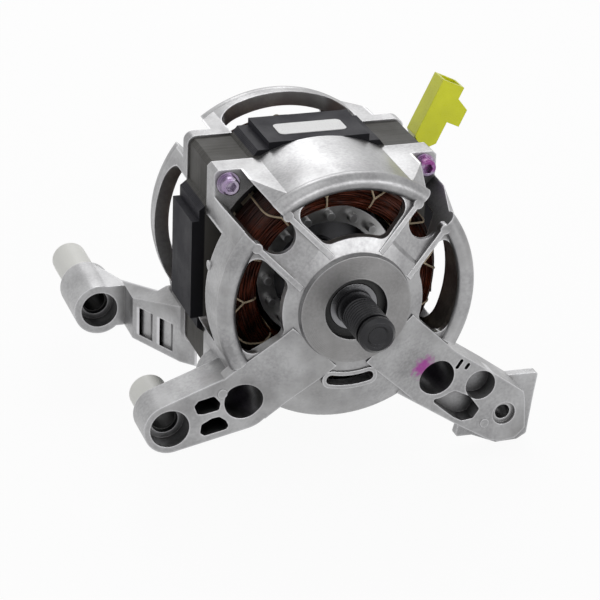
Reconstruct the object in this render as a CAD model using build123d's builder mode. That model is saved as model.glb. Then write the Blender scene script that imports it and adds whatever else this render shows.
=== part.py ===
from build123d import *
import math
import os

# Washing machine motor: a three phase induction motor between two die-cast brackets.
# All sizes are millimetres. The shaft runs along Y, its pulley end points to -Y, and Z is up.
# The origin is on the shaft's axis in the plane of the machined face of the front hub,
# and every station along the shaft is measured back from that face.

os.makedirs("parts", exist_ok=True)

# Shared fits
overrun = 2.0
race_gap = 0.3
rubber_gap = 0.3
air_gap = 0.4
slip_gap = 0.1

# Stator core: a square lamination with a raised pack in the middle of each side
core_front = 67.0
core_length = 37.0
corner_flat = 60.3
corner_chamfer = 2.5
pack_width = 56.0
pack_rise = 9.0
shelf_width = 68.0
shelf_rise = 5.1
foot_width = 76.0
slot_reach = 15.6
slot_count = 24
slot_mouth_width = 2.6
slot_lip = 1.2
slot_near_width = 6.0
slot_far_width = 9.0
slot_inset = 2.0
wedge_step = 1.0
liner_wall = 0.5
liner_stand_out = 3.0

# Through bolts at the corners of the core
bolt_inset = 5.9
bolt_radius = 3.0
bolt_hole_radius = 3.4
bolt_flange_radius = 6.2
bolt_flange_height = 1.6
bolt_head_radius = 4.9
bolt_head_height = 5.4
bolt_head_round = 1.0
bolt_socket_across = 5.0
bolt_socket_depth = 3.4
bolt_engagement = 10.0

# Front bracket, dome and arches
hub_radius = 30.0
hub_opening = 17.0
hub_edge = 0.8
hub_step = 3.2
ledge_radius = 37.0
ledge_station = 4.9
hub_boss_radius = 27.0
hub_boss_depth = 24.0
dome_wall = 4.0
bead_width = 8.8
window_reach = 22.7
window_station = 13.2
bead_swell = 3.2
arch_rise = 10.1
arch_wall = 4.0
arch_front = 18.0
arch_taper = 0.6
rim_lap = 1.3
rim_round = 5.0
flare_inset = 0.4
flare_reach = 12.0
pad_front = 54.0
spoke_half = 13.6
lower_spoke_half = 17.5
window_round = 6.0
channel_half = 9.8
channel_inset = 13.7
upper_pad_radius = 8.8
ridge_rise = 2.4
panel_recess = 2.0
rib_wall = 3.0
rib_depth = 10.0
side_cut_inset = 21.4
side_cut_front = 38.0
side_cut_round = 12.0
ejector_radius = 2.8
ejector_height = 0.5
nub_radius = 2.6
nub_reach = 3.0
nub_spacing = 12.0
nub_rise = 16.0
vent_inset = 4.5
vent_sweep = 28.0
vent_width = 5.4
vent_collar = 2.2
vent_collar_rise = 2.4
vent_collar_depth = 6.0

# Deep bores of the lower bolts
deep_bore_radius = 10.4
deep_bore_wall = 5.0
cup_wall = 3.0
arm_front = 17.0
arm_depth = 22.0

# Front left arm with the pivot bore, on one line with the rear arm's bore
pivot_side = 39.8
pivot_drop = 11.6
pivot_end_radius = 14.0
pivot_mouth_radius = 10.6
pivot_mouth_depth = 11.0
pivot_neck_radius = 7.4
pivot_neck_length = 3.0
bush_radius = 10.3
bush_bore = 6.5
bush_stand_out = 23.0
bush_chamfer = 1.2
arm_root_radius = 17.0
pocket_depth = 18.0
right_pocket_depth = 10.0
pocket_round = 1.6
arm_ejector_radius = 2.6
upper_pocket_shares = [
    (0.38, 0.54), (0.45, 0.68), (0.66, 0.64), (0.715, 0.27), (0.67, 0.0), (0.46, 0.07), (0.39, 0.16),
]
lower_pocket_shares = [
    (0.35, -0.66), (0.4, -0.32), (0.55, -0.23), (0.65, -0.28),
    (0.715, -0.54), (0.73, -0.78), (0.69, -0.9), (0.4, -0.83),
]
left_ejector_shares = (0.77, 0.61)

# Front right arm, its outline runs along the line from the bolt to the threaded hole
right_arm_half = 17.6
right_hole_side = 41.6
right_hole_drop = 27.6
right_hole_radius = 4.25
right_seat_radius = 6.6
right_seat_depth = 2.4
round_pocket_radius = 8.6
flange_front = 34.0
flange_thickness = 5.0
slit_width = 2.0
slit_length = 6.4
short_slit_length = 4.2
slit_depth = 5.0
right_outline_shares = [
    (-0.2, 1.0), (0.6, 0.97), (1.05, 0.92), (1.14, 0.66), (1.34, -0.08),
    (1.31, -0.52), (1.18, -0.84), (1.05, -0.98), (0.6, -1.02), (-0.3, -1.02),
]
right_flange_shares = [
    (0.62, 0.3), (0.99, 0.94), (1.295, 1.49), (1.42, 0.76), (1.64, -0.43), (1.585, -0.75),
    (1.37, -1.17), (1.05, -1.32), (0.88, -1.63), (0.83, -1.24), (0.62, -0.95),
]
round_pocket_shares = (0.53, 0.44)
cup_pocket_shares = [
    (0.12, -0.72), (0.3, -0.8), (0.48, -0.86), (0.6, -0.84),
    (0.7, -0.6), (0.7, -0.24), (0.5, -0.03), (0.3, -0.1),
]
right_ejector_shares = (0.86, -0.57)
long_slit_shares = (0.15, 0.7)
short_slit_shares = (0.25, 0.76)

# Bearings, inner radius, outer radius and width
front_bearing_inner = 10.0
front_bearing_outer = 21.0
front_bearing_width = 12.0
front_bearing_station = 4.0
rear_bearing_inner = 8.5
rear_bearing_outer = 20.0
rear_bearing_width = 12.0
rear_bearing_station = 142.0
ring_wall = 2.8
front_ball_radius = 3.2
front_ball_count = 9
rear_ball_radius = 3.2
rear_ball_count = 8
cage_wall = 2.4
cage_front = 4.4
cage_width = 5.4
seal_wall = 0.8
seal_inset = 0.4

# Rotor
rotor_length = 38.0
rotor_bar_count = 28
rotor_bar_inset = 3.8
rotor_bar_height = 5.0
rotor_bar_width = 2.6
end_ring_inset = 1.4
end_ring_width = 9.6
end_ring_length = 18.0
peg_count = 16
peg_inset = 5.0
peg_radius = 2.3
peg_length = 4.6

# Shaft
shaft_reach = 33.2
pulley_margin = 1.6
groove_count = 8
groove_pitch = 2.34
groove_depth = 0.9
neck_width = 2.4
neck_depth = 1.5
pulley_step = 0.25
relief_front = 1.0
relief_width = 2.0
relief_depth = 0.7
collar_length = 4.2
collar_chamfer = 1.9
centre_recess_radius = 6.0
centre_recess_depth = 1.2
bearing_shoulder = 2.4
rotor_seat_radius = 13.5
rotor_seat_margin = 4.0
rear_stub_radius = 6.0
rear_stub_length = 15.0

# End turns of the winding
winding_inset = 2.2
winding_clearance = 4.4
winding_reach = 28.0
winding_stand_off = 4.0
winding_round = 3.0
turn_diameter = 1.6
turn_gap = 0.5
turn_count = 4
turn_sink = 0.3
turn_sides = 8
lace_count = 12
lace_width = 2.0
lace_wall = 0.8

# Rear bracket, whose arches are open hoops carried by the corners
rear_depth = 57.0
rear_hoop_rise = 1.6
rear_hoop_taper = 1.0
rear_arch_depth = 37.0
rear_cut_depth = 29.0
rear_cut_inset = 17.4
rear_pad_depth = 8.0
rear_flare_reach = 14.0
rear_bead_swell = 1.2
rear_hub_radius = 27.0
rear_hub_opening = 12.0
rear_boss_radius = 26.0
rear_boss_depth = 22.0
rear_window_inner = 34.0
boss_radius = 5.4
boss_length = 12.0
rear_arm_front = 166.0
rear_arm_depth = 35.0
rear_bush_stand_out = 40.0
rear_arm_wall = 4.0
rear_arm_root_inset = 0.4
rear_arm_root_rise = 23.0
rear_arm_rise = 14.0
rear_arm_fall = 11.0
rear_pivot_radius = 14.8
rear_pocket_depth = 4.0
rear_web = 2.6
rear_arm_knee = 18.0

# Speed sensor at the rear end of the shaft
magnet_radius = 11.0
magnet_width = 8.0
coil_inner = 12.6
coil_outer = 19.0
coil_width = 9.0
cover_wall = 1.4
cover_rim = 22.0

# Plug housing, which stands tilted on a tab of the rear bracket
plug_side = 16.2
plug_drop = 13.8
plug_station = 106.0
plug_depth = 13.0
plug_length = 35.0
plug_half = 7.0
plug_tilt = 65.0
plug_wall = 1.6
plug_step_start = 13.5
plug_step_end = 24.0
plug_step_reach = 8.0
plug_step_depth = 7.0
plug_foot = 4.0
plug_cavity_depth = 9.0
tab_height = 7.0
tab_depth = 9.0
pin_count = 3
pin_width = 1.0
pin_pitch = 3.6
pin_length = 12.0

# Worked out from the sizes above
bolt_half_pitch = corner_flat - bolt_inset
shelf_height = corner_flat + shelf_rise
pack_height = corner_flat + pack_rise
rim_half = corner_flat + rim_lap
arch_radius = corner_flat + arch_rise
flare_front_radius = arch_radius - flare_inset
flare_rear_radius = flare_front_radius + flare_reach
window_outer = flare_front_radius - bead_width
window_inner = window_outer - window_reach
channel_near = window_outer - channel_inset
vent_radius = window_inner + vent_inset
side_cut_half = bolt_half_pitch - side_cut_inset
winding_outer = arch_radius - arch_wall - dome_wall - winding_clearance
slot_bottom_radius = winding_outer - slot_inset
stator_bore = slot_bottom_radius - slot_reach
winding_inner = stator_bore + winding_inset
rotor_radius = stator_bore - air_gap
rotor_bar_radius = rotor_radius - rotor_bar_inset
end_ring_outer = rotor_radius - end_ring_inset
end_ring_inner = end_ring_outer - end_ring_width
peg_circle = end_ring_outer - peg_inset
rear_hoop_radius = arch_radius + rear_hoop_rise
rear_flare_radius = flare_front_radius + rear_flare_reach
rear_cut_half = bolt_half_pitch - rear_cut_inset
pivot_x = -bolt_half_pitch - pivot_side
pivot_z = -bolt_half_pitch - pivot_drop
right_hole_x = bolt_half_pitch + right_hole_side
right_hole_z = -bolt_half_pitch - right_hole_drop
rear_arm_root_x = -bolt_half_pitch + rear_arm_root_inset
rear_arm_root_top = pivot_z + rear_arm_root_rise
rear_arm_top = pivot_z + rear_arm_rise
rear_arm_bottom = pivot_z - rear_arm_fall
plug_x = corner_flat + plug_side
plug_z = corner_flat - plug_drop
pulley_radius = front_bearing_inner - pulley_step
core_rear = core_front + core_length
bracket_rear = core_rear + rear_depth
arm_rear = arm_front + arm_depth
rear_arm_rear = rear_arm_front + rear_arm_depth
rotor_front = core_front + core_length / 2 - rotor_length / 2
rotor_rear = rotor_front + rotor_length


def across(station):
    """The plane across the shaft at a station; sketches there read X and Z."""
    return Plane.XZ.offset(-station)


plug_course = math.radians(plug_tilt)
plug_plane = Plane(
    origin=(plug_x, plug_station, plug_z),
    x_dir=(math.cos(plug_course), 0, math.sin(plug_course)),
    z_dir=(0, 1, 0),
)
tab_base = plug_z - tab_height
corners = [(sx * bolt_half_pitch, sz * bolt_half_pitch) for sx in (-1, 1) for sz in (-1, 1)]
lower_corners = [(-bolt_half_pitch, -bolt_half_pitch), (bolt_half_pitch, -bolt_half_pitch)]
upper_corners = [(-bolt_half_pitch, bolt_half_pitch), (bolt_half_pitch, bolt_half_pitch)]
side_turns = [0, 90, 180, 270]

# Stator core
half_step = corner_flat - corner_chamfer
slot_neck = stator_bore + slot_lip
with BuildPart() as stator_core:
    with BuildSketch(across(core_front)) as lamination:
        Rectangle(2 * corner_flat, 2 * corner_flat)
        chamfer(lamination.vertices(), corner_chamfer)
        for turn in side_turns:
            with Locations(Rotation(0, 0, turn)):
                Polygon(
                    (-foot_width / 2, half_step),
                    (-foot_width / 2, corner_flat),
                    (-shelf_width / 2, shelf_height),
                    (-pack_width / 2, shelf_height),
                    (-pack_width / 2, pack_height),
                    (pack_width / 2, pack_height),
                    (pack_width / 2, shelf_height),
                    (shelf_width / 2, shelf_height),
                    (foot_width / 2, corner_flat),
                    (foot_width / 2, half_step),
                    align=None,
                )
        Circle(stator_bore, mode=Mode.SUBTRACT)
        with PolarLocations(0, slot_count):
            Polygon(
                (stator_bore - slot_lip, -slot_mouth_width / 2),
                (slot_neck, -slot_mouth_width / 2),
                (slot_neck + wedge_step, -slot_near_width / 2),
                (slot_bottom_radius, -slot_far_width / 2),
                (slot_bottom_radius, slot_far_width / 2),
                (slot_neck + wedge_step, slot_near_width / 2),
                (slot_neck, slot_mouth_width / 2),
                (stator_bore - slot_lip, slot_mouth_width / 2),
                align=None,
                mode=Mode.SUBTRACT,
            )
        with Locations(*corners):
            Circle(bolt_hole_radius, mode=Mode.SUBTRACT)
    extrude(amount=-core_length)
stator_core.part.label = "stator_core"
export_step(stator_core.part, "parts/stator_core.step")

# Slot liners, one bent sheet in each slot, and the conductors that they hold
liner_near = slot_neck + wedge_step
winding_front_rear = core_front - winding_stand_off
winding_rear_front = core_rear + winding_stand_off
with BuildPart() as slot_liners:
    with BuildSketch(across(core_front - liner_stand_out)):
        with PolarLocations(0, slot_count):
            Polygon(
                (liner_near, -slot_near_width / 2),
                (slot_bottom_radius, -slot_far_width / 2),
                (slot_bottom_radius, slot_far_width / 2),
                (liner_near, slot_near_width / 2),
                align=None,
            )
        with PolarLocations(0, slot_count):
            Polygon(
                (liner_near - overrun, liner_wall - slot_near_width / 2),
                (liner_near, liner_wall - slot_near_width / 2),
                (slot_bottom_radius - liner_wall, liner_wall - slot_far_width / 2),
                (slot_bottom_radius - liner_wall, slot_far_width / 2 - liner_wall),
                (liner_near, slot_near_width / 2 - liner_wall),
                (liner_near - overrun, slot_near_width / 2 - liner_wall),
                align=None,
                mode=Mode.SUBTRACT,
            )
    extrude(amount=-(core_length + 2 * liner_stand_out))
slot_liners.part.label = "slot_liners"
export_step(slot_liners.part, "parts/slot_liners.step")

with BuildPart() as slot_conductors:
    with BuildSketch(across(winding_front_rear)):
        with PolarLocations(0, slot_count):
            Polygon(
                (liner_near, liner_wall + slip_gap - slot_near_width / 2),
                (slot_bottom_radius - liner_wall - slip_gap, liner_wall + slip_gap - slot_far_width / 2),
                (slot_bottom_radius - liner_wall - slip_gap, slot_far_width / 2 - liner_wall - slip_gap),
                (liner_near, slot_near_width / 2 - liner_wall - slip_gap),
                align=None,
            )
    extrude(amount=-(winding_rear_front - winding_front_rear))
slot_conductors.part.label = "slot_conductors"
export_step(slot_conductors.part, "parts/slot_conductors.step")

# End turns, a rounded bundle at each end of the core, and the turns of wire on its face
turn_growth = turn_diameter + turn_gap
turn_start = winding_inner + winding_round + turn_diameter / 2
turn_rise = turn_diameter / 2 - turn_sink


def turn_wire(station):
    """The path of the turns: half circles about two centres in turn, with straight ends."""
    ends = turn_count * turn_growth
    with BuildLine(across(station)) as path:
        lead_in = Line((turn_start, -turn_diameter), (turn_start, 0))
        for number in range(2 * turn_count):
            radius = turn_start + number * turn_growth / 2
            shift = turn_growth / 2 * (number % 2)
            side = 1 - 2 * (number % 2)
            ThreePointArc((shift + side * radius, 0), (shift, side * radius), (shift - side * radius, 0))
        Line((turn_start + ends, 0), (turn_start + ends, turn_diameter))
    return path.line, lead_in


for end_name, near, far, outward in (
    ("winding_front", winding_front_rear, winding_front_rear - winding_reach, -1),
    ("winding_rear", winding_rear_front, winding_rear_front + winding_reach, 1),
):
    wire_path, lead_in = turn_wire(far + outward * turn_rise)
    with BuildPart() as end_turns:
        with BuildSketch(Plane.XY) as bundle:
            Polygon(
                (winding_inner, near),
                (winding_outer, near),
                (winding_outer, far),
                (winding_inner, far),
                align=None,
            )
            fillet(bundle.vertices(), winding_round)
        revolve(axis=Axis.Y)
        with BuildSketch(Plane(origin=lead_in @ 0, z_dir=lead_in % 0)):
            RegularPolygon(turn_diameter / 2, turn_sides)
        sweep(path=wire_path)
    end_turns.part.label = end_name
    export_step(end_turns.part, "parts/" + end_name + ".step")
turn_points = [wire_path @ (number / 2000) for number in range(2001)]
loop_points = 2000 / turn_count / 2
least = min(
    (turn_points[first] - turn_points[second]).length
    for first in range(0, 2001, 5)
    for second in range(first + int(loop_points), 2001)
)
print("least gap between turns", round(least - turn_diameter, 3))

# Lacing, cord loops round each bundle between the slots
for end_name, near, far, outward in (
    ("lacing_front", winding_front_rear, winding_front_rear - winding_reach, -1),
    ("lacing_rear", winding_rear_front, winding_rear_front + winding_reach, 1),
):
    turns_top = far + outward * (turn_rise + turn_diameter / 2 + slip_gap)
    with BuildPart() as lacing:
        for number in range(lace_count):
            turned = Plane.XY.rotated((0, 360 / slot_count / 2 + number * 360 / lace_count, 0))
            with BuildSketch(turned) as lace:
                Polygon(
                    (winding_inner - slip_gap - lace_wall, near - outward * (slip_gap + lace_wall)),
                    (winding_outer + slip_gap + lace_wall, near - outward * (slip_gap + lace_wall)),
                    (winding_outer + slip_gap + lace_wall, turns_top + outward * lace_wall),
                    (winding_inner - slip_gap - lace_wall, turns_top + outward * lace_wall),
                    align=None,
                )
                Polygon(
                    (winding_inner - slip_gap, near - outward * slip_gap),
                    (winding_outer + slip_gap, near - outward * slip_gap),
                    (winding_outer + slip_gap, turns_top),
                    (winding_inner - slip_gap, turns_top),
                    align=None,
                    mode=Mode.SUBTRACT,
                )
            extrude(amount=lace_width / 2, both=True)
    lacing.part.label = end_name
    export_step(lacing.part, "parts/" + end_name + ".step")

# Front bracket
pivot = (pivot_x, pivot_z)
deep_outer = deep_bore_radius + deep_bore_wall
dome_slope = (window_station - ledge_station) / (window_outer - ledge_radius)
bearing_seat_rear = front_bearing_station + front_bearing_width
vent_arc = CenterArc((0, 0), vent_radius, 270 - vent_sweep / 2, vent_sweep)


def tangent_hull(first, first_radius, second, second_radius):
    """The four corners where two circles meet their outer tangents."""
    dx = second[0] - first[0]
    dz = second[1] - first[1]
    reach = math.hypot(dx, dz)
    lean = math.acos((first_radius - second_radius) / reach)
    course = math.atan2(dz, dx)
    points = []
    for centre, radius, side in (
        (first, first_radius, 1),
        (second, second_radius, 1),
        (second, second_radius, -1),
        (first, first_radius, -1),
    ):
        angle = course + side * lean
        points.append((centre[0] + radius * math.cos(angle), centre[1] + radius * math.sin(angle)))
    return points


left_bolt = lower_corners[0]
right_bolt = lower_corners[1]
right_hole = (right_hole_x, right_hole_z)


def along_arm(start, end, share, half):
    """A place on an arm, from its share of the arm's length and of its half width."""
    dx = end[0] - start[0]
    dz = end[1] - start[1]
    reach = math.hypot(dx, dz)
    return (
        start[0] + dx * share[0] - dz / reach * share[1] * half,
        start[1] + dz * share[0] + dx / reach * share[1] * half,
    )


def right_place(share, half):
    """A place on the front right arm."""
    return along_arm(right_bolt, right_hole, share, half)


def left_place(share, half):
    """A place on the front left arm, counted from the pivot."""
    return along_arm(pivot, left_bolt, share, half)


with BuildPart() as front_bracket:
    # arches, a square rim with bowed sides that narrows towards the front
    with BuildSketch(across(core_front)) as rim:
        Circle(arch_radius)
        RectangleRounded(2 * rim_half, 2 * rim_half, rim_round)
    extrude(amount=core_front - arch_front, taper=arch_taper)
    # the flare in front of the corner pads
    with BuildSketch(Plane.XY):
        Polygon(
            (0, arch_front - overrun),
            (flare_front_radius, arch_front - overrun),
            (flare_front_radius, arch_front),
            (flare_rear_radius, pad_front),
            (flare_rear_radius + rim_half, pad_front),
            (flare_rear_radius + rim_half, core_front + overrun),
            (0, core_front + overrun),
            align=None,
        )
    revolve(axis=Axis.Y, mode=Mode.INTERSECT)
    # hollow for the end turns
    with BuildSketch(Plane.XY):
        Polygon(
            (0, arch_front - overrun),
            (arch_radius - arch_wall - dome_wall, arch_front - overrun),
            (arch_radius - arch_wall - dome_wall, arch_front),
            (arch_radius - arch_wall, core_front),
            (arch_radius - arch_wall, core_front + overrun),
            (0, core_front + overrun),
            align=None,
        )
    revolve(axis=Axis.Y, mode=Mode.SUBTRACT)
    # hub, dome and bead, turned about the shaft
    with BuildSketch(Plane.XY):
        with BuildLine():
            hub_face = Polyline(
                (hub_opening, 0),
                (hub_radius, 0),
                (hub_radius + hub_edge, hub_step),
                (ledge_radius, ledge_station),
                (window_outer, window_station),
            )
            bead = ThreePointArc(
                hub_face @ 1,
                ((window_outer + flare_front_radius) / 2, window_station - bead_swell),
                (flare_front_radius, arch_front),
            )
            Polyline(
                bead @ 1,
                (arch_radius - arch_wall - dome_wall, arch_front),
                (window_outer, window_station + dome_wall),
                (hub_boss_radius + hub_step, hub_step + dome_wall),
                (hub_boss_radius, hub_step + 2 * dome_wall),
                (hub_boss_radius, hub_boss_depth),
                (front_bearing_outer, hub_boss_depth),
                (front_bearing_outer, front_bearing_station),
                (hub_opening, front_bearing_station),
                (hub_opening, 0),
            )
        make_face()
    revolve(axis=Axis.Y)
    # the bead ends where the plates of the lower spokes begin
    bead_end = 45 - math.degrees(math.asin(lower_spoke_half / window_outer))
    bead_cut = 180 - 2 * bead_end
    bead_clear = window_station - 2 * bead_swell
    with BuildSketch(Plane.XY.rotated((0, bead_end, 0))):
        Polygon(
            (window_outer, bead_clear),
            (window_outer, window_station),
            (flare_front_radius, arch_front),
            (flare_front_radius + overrun, arch_front),
            (flare_front_radius + overrun, bead_clear),
            align=None,
        )
    revolve(axis=Axis.Y, revolution_arc=bead_cut, mode=Mode.SUBTRACT)
    # corner pads that clamp the core
    with BuildSketch(across(core_front)):
        with Locations(*lower_corners):
            Circle(deep_outer)
        with Locations(*upper_corners):
            Circle(upper_pad_radius)
        Circle(winding_outer + rubber_gap, mode=Mode.SUBTRACT)
        Rectangle(2 * rim_half, 2 * rim_half, mode=Mode.INTERSECT)
    extrude(amount=core_front - pad_front)
    # kidney windows between the spokes, the lower one stays closed
    with BuildSketch(across(0)) as windows:
        Circle(window_outer)
        Circle(window_inner, mode=Mode.SUBTRACT)
        for turn in (45, 135):
            with Locations(Rotation(0, 0, turn)):
                Rectangle(2 * (window_outer + overrun), 2 * spoke_half, mode=Mode.SUBTRACT)
        for turn in (225, 315):
            with Locations(Rotation(0, 0, turn)):
                Polygon(
                    (0, -lower_spoke_half),
                    (window_outer + overrun, -lower_spoke_half),
                    (window_outer + overrun, lower_spoke_half),
                    (0, lower_spoke_half),
                    align=None,
                    mode=Mode.SUBTRACT,
                )
        fillet(windows.vertices(), window_round)
        with Locations((0, -window_outer)):
            Rectangle(2 * window_outer, window_outer + overrun, mode=Mode.SUBTRACT)
    extrude(amount=-(arch_front + dome_wall), mode=Mode.SUBTRACT)
    # recessed panels of the upper spokes, with a ridge on both sides from the hub to the corner pads
    for side in (-1, 1):
        diagonal = Vector(side, 0, 1).normalized()
        cross_way = diagonal.cross(Vector(0, 1, 0))
        panel_plane = Plane(origin=cross_way * -channel_half, x_dir=diagonal, z_dir=cross_way)
        with BuildSketch(panel_plane):
            Polygon(
                (ledge_radius, ledge_station - overrun),
                (ledge_radius, ledge_station),
                (ledge_radius + panel_recess, ledge_station + panel_recess),
                (window_outer, window_station + panel_recess),
                (window_outer, window_station - overrun),
                align=None,
            )
        extrude(amount=2 * channel_half, mode=Mode.SUBTRACT)
        for rib_start in (channel_half, -channel_half - rib_wall):
            spoke_plane = Plane(origin=cross_way * rib_start, x_dir=diagonal, z_dir=cross_way)
            with BuildSketch(spoke_plane):
                Polygon(
                    (hub_radius, hub_step),
                    (window_outer, window_station - ridge_rise),
                    (flare_front_radius - overrun, arch_front - ridge_rise / 2),
                    (flare_rear_radius - 3 * rib_wall, pad_front),
                    (flare_rear_radius - 3 * rib_wall, core_front),
                    (arch_radius - arch_wall, core_front),
                    (arch_radius - arch_wall - dome_wall, arch_front + rib_depth),
                    (channel_near, window_station),
                    (hub_radius, hub_step + dome_wall),
                    align=None,
                )
            extrude(amount=rib_wall)
    # plates of the two lower spokes, from the hub to the deep bores
    for side in (-1, 1):
        diagonal = Vector(side, 0, -1).normalized()
        cross_way = diagonal.cross(Vector(0, 1, 0))
        lower_plane = Plane(origin=cross_way * -lower_spoke_half, x_dir=diagonal, z_dir=cross_way)
        with BuildSketch(lower_plane):
            Polygon(
                (hub_radius - hub_edge, hub_step),
                (ledge_radius, ledge_station),
                (window_outer, arm_front - dome_wall),
                (bolt_half_pitch * math.sqrt(2), arm_front),
                (bolt_half_pitch * math.sqrt(2), arm_front + 2 * dome_wall),
                (window_outer, arch_front + dome_wall),
                (hub_radius, hub_step + dome_wall),
                align=None,
            )
        extrude(amount=2 * lower_spoke_half)
    # front left arm
    with BuildSketch(across(arm_front)):
        Polygon(*tangent_hull(left_bolt, arm_root_radius, pivot, pivot_end_radius), align=None)
        with Locations(left_bolt):
            Circle(arm_root_radius)
        with Locations(pivot):
            Circle(pivot_end_radius)
    extrude(amount=-arm_depth)
    # tubes of the deep bores, back to the pads
    with BuildSketch(across(arm_front)):
        with Locations(*lower_corners):
            Circle(deep_outer)
    extrude(amount=-(pad_front - arm_front))
    # front right arm, a plate with a wide end and a back flange
    with BuildSketch(across(arm_front)) as right_plate:
        Polygon(*[right_place(share, right_arm_half) for share in right_outline_shares], align=None)
        fillet(right_plate.vertices().sort_by(Axis.X)[-7:], pocket_round)
    extrude(amount=-arm_depth)
    with BuildSketch(across(flange_front)) as right_flange:
        Polygon(*[right_place(share, right_arm_half) for share in right_flange_shares], align=None)
        fillet(right_flange.vertices(), pocket_round)
    extrude(amount=-flange_thickness)
    # openings of the front bracket
    with BuildSketch(across(-overrun)):
        for turn in (45, 135):
            with Locations(Rotation(0, 0, turn)):
                with Locations((channel_near + channel_half, 0)):
                    Circle(channel_half)
                Polygon(
                    (channel_near + channel_half, -channel_half),
                    (2 * flare_rear_radius, -channel_half),
                    (2 * flare_rear_radius, channel_half),
                    (channel_near + channel_half, channel_half),
                    align=None,
                )
    extrude(amount=-(pad_front + overrun), mode=Mode.SUBTRACT)
    with BuildSketch(across(-overrun)):
        with Locations(*lower_corners):
            Circle(deep_bore_radius)
        with Locations(*upper_corners):
            Circle(bolt_flange_radius + rubber_gap)
    extrude(amount=-(pad_front + overrun), mode=Mode.SUBTRACT)
    with BuildSketch(across(pad_front - overrun)):
        with Locations(*corners):
            Circle(bolt_hole_radius)
    extrude(amount=-(core_front - pad_front + 2 * overrun), mode=Mode.SUBTRACT)
    # pivot bore, a mouth, a neck and the seat of the bush
    with BuildSketch(across(arm_front - overrun)):
        with Locations(pivot):
            Circle(pivot_mouth_radius)
    extrude(amount=-(pivot_mouth_depth + overrun), mode=Mode.SUBTRACT)
    with BuildSketch(across(arm_front)):
        with Locations(pivot):
            Circle(pivot_neck_radius)
    extrude(amount=-arm_depth, mode=Mode.SUBTRACT)
    with BuildSketch(across(arm_front + pivot_mouth_depth + pivot_neck_length)):
        with Locations(pivot):
            Circle(bush_radius)
    extrude(amount=-arm_depth, mode=Mode.SUBTRACT)
    # threaded hole of the right arm and its seat
    with BuildSketch(across(arm_front - overrun)):
        with Locations(right_hole):
            Circle(right_seat_radius)
    extrude(amount=-(right_seat_depth + overrun), mode=Mode.SUBTRACT)
    with BuildSketch(across(arm_front)):
        with Locations(right_hole):
            Circle(right_hole_radius)
    extrude(amount=-(arm_depth + overrun), mode=Mode.SUBTRACT)
    # pockets and slits of the arms
    with BuildSketch(across(arm_front - overrun)) as left_pockets:
        Polygon(*[left_place(share, pivot_end_radius) for share in upper_pocket_shares], align=None)
        Polygon(*[left_place(share, pivot_end_radius) for share in lower_pocket_shares], align=None)
        fillet(left_pockets.vertices(), pocket_round)
    extrude(amount=-(pocket_depth + overrun), mode=Mode.SUBTRACT)
    with BuildSketch(across(arm_front - overrun)) as right_pockets:
        Polygon(*[right_place(share, right_arm_half) for share in cup_pocket_shares], align=None)
        fillet(right_pockets.vertices(), pocket_round)
        with Locations(right_bolt):
            Circle(deep_bore_radius + cup_wall, mode=Mode.SUBTRACT)
        with Locations(right_place(round_pocket_shares, right_arm_half)):
            Circle(round_pocket_radius)
    extrude(amount=-(right_pocket_depth + overrun), mode=Mode.SUBTRACT)
    arm_course = math.degrees(math.atan2(right_hole_z + bolt_half_pitch, right_hole_x - bolt_half_pitch))
    with BuildSketch(across(arm_front - overrun)):
        with Locations(Location(right_place(long_slit_shares, right_arm_half), arm_course + 90)):
            SlotOverall(slit_length, slit_width)
        with Locations(Location(right_place(short_slit_shares, right_arm_half), arm_course + 90)):
            SlotOverall(short_slit_length, slit_width)
    extrude(amount=-(slit_depth + overrun), mode=Mode.SUBTRACT)
    # curved slot in the closed lower part of the dome, with its raised collar
    vent_station = ledge_station + (vent_radius - ledge_radius) * dome_slope
    with BuildSketch(across(vent_station - vent_collar_rise)):
        SlotArc(vent_arc, vent_width + 2 * vent_collar)
    extrude(amount=-vent_collar_depth)
    with BuildSketch(across(-overrun)):
        SlotArc(vent_arc, vent_width)
    extrude(amount=-(arch_front + overrun), mode=Mode.SUBTRACT)
    # open backs of the side arches
    with BuildSketch(Plane.YZ) as side_cut:
        Polygon(
            (side_cut_front, -side_cut_half),
            (core_front + overrun, -side_cut_half),
            (core_front + overrun, side_cut_half),
            (side_cut_front, side_cut_half),
            align=None,
        )
        fillet(side_cut.vertices().sort_by(Axis.Y)[:2], side_cut_round)
    extrude(amount=2 * rim_half, both=True, mode=Mode.SUBTRACT)
    # ejector marks on the ridges and the arms
    mark_offset = channel_half + rib_wall / 2
    mark_ring = math.hypot(window_outer, mark_offset)
    mark_lean = math.degrees(math.atan2(mark_offset, window_outer))
    with BuildSketch(across(window_station - ridge_rise - ejector_height)):
        for mark in (45 - mark_lean, 45 + mark_lean, 135 - mark_lean, 135 + mark_lean):
            with PolarLocations(mark_ring, 1, start_angle=mark):
                Circle(ejector_radius)
    extrude(amount=-(ridge_rise + ejector_height + overrun))
    with BuildSketch(across(arm_front - ejector_height)):
        with Locations(left_place(left_ejector_shares, pivot_end_radius)):
            Circle(arm_ejector_radius)
        with Locations(right_place(right_ejector_shares, right_arm_half)):
            Circle(arm_ejector_radius)
    extrude(amount=-2 * ejector_height)
    # nubs on the open edge of the left arch
    with BuildSketch(Plane.YZ.offset(-arch_radius + nub_reach / 2)):
        with Locations((side_cut_front, nub_rise), (side_cut_front, nub_rise - nub_spacing)):
            Circle(nub_radius)
    extrude(amount=nub_reach)
front_bracket.part.label = "front_bracket"
export_step(front_bracket.part, "parts/front_bracket.step")

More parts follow.
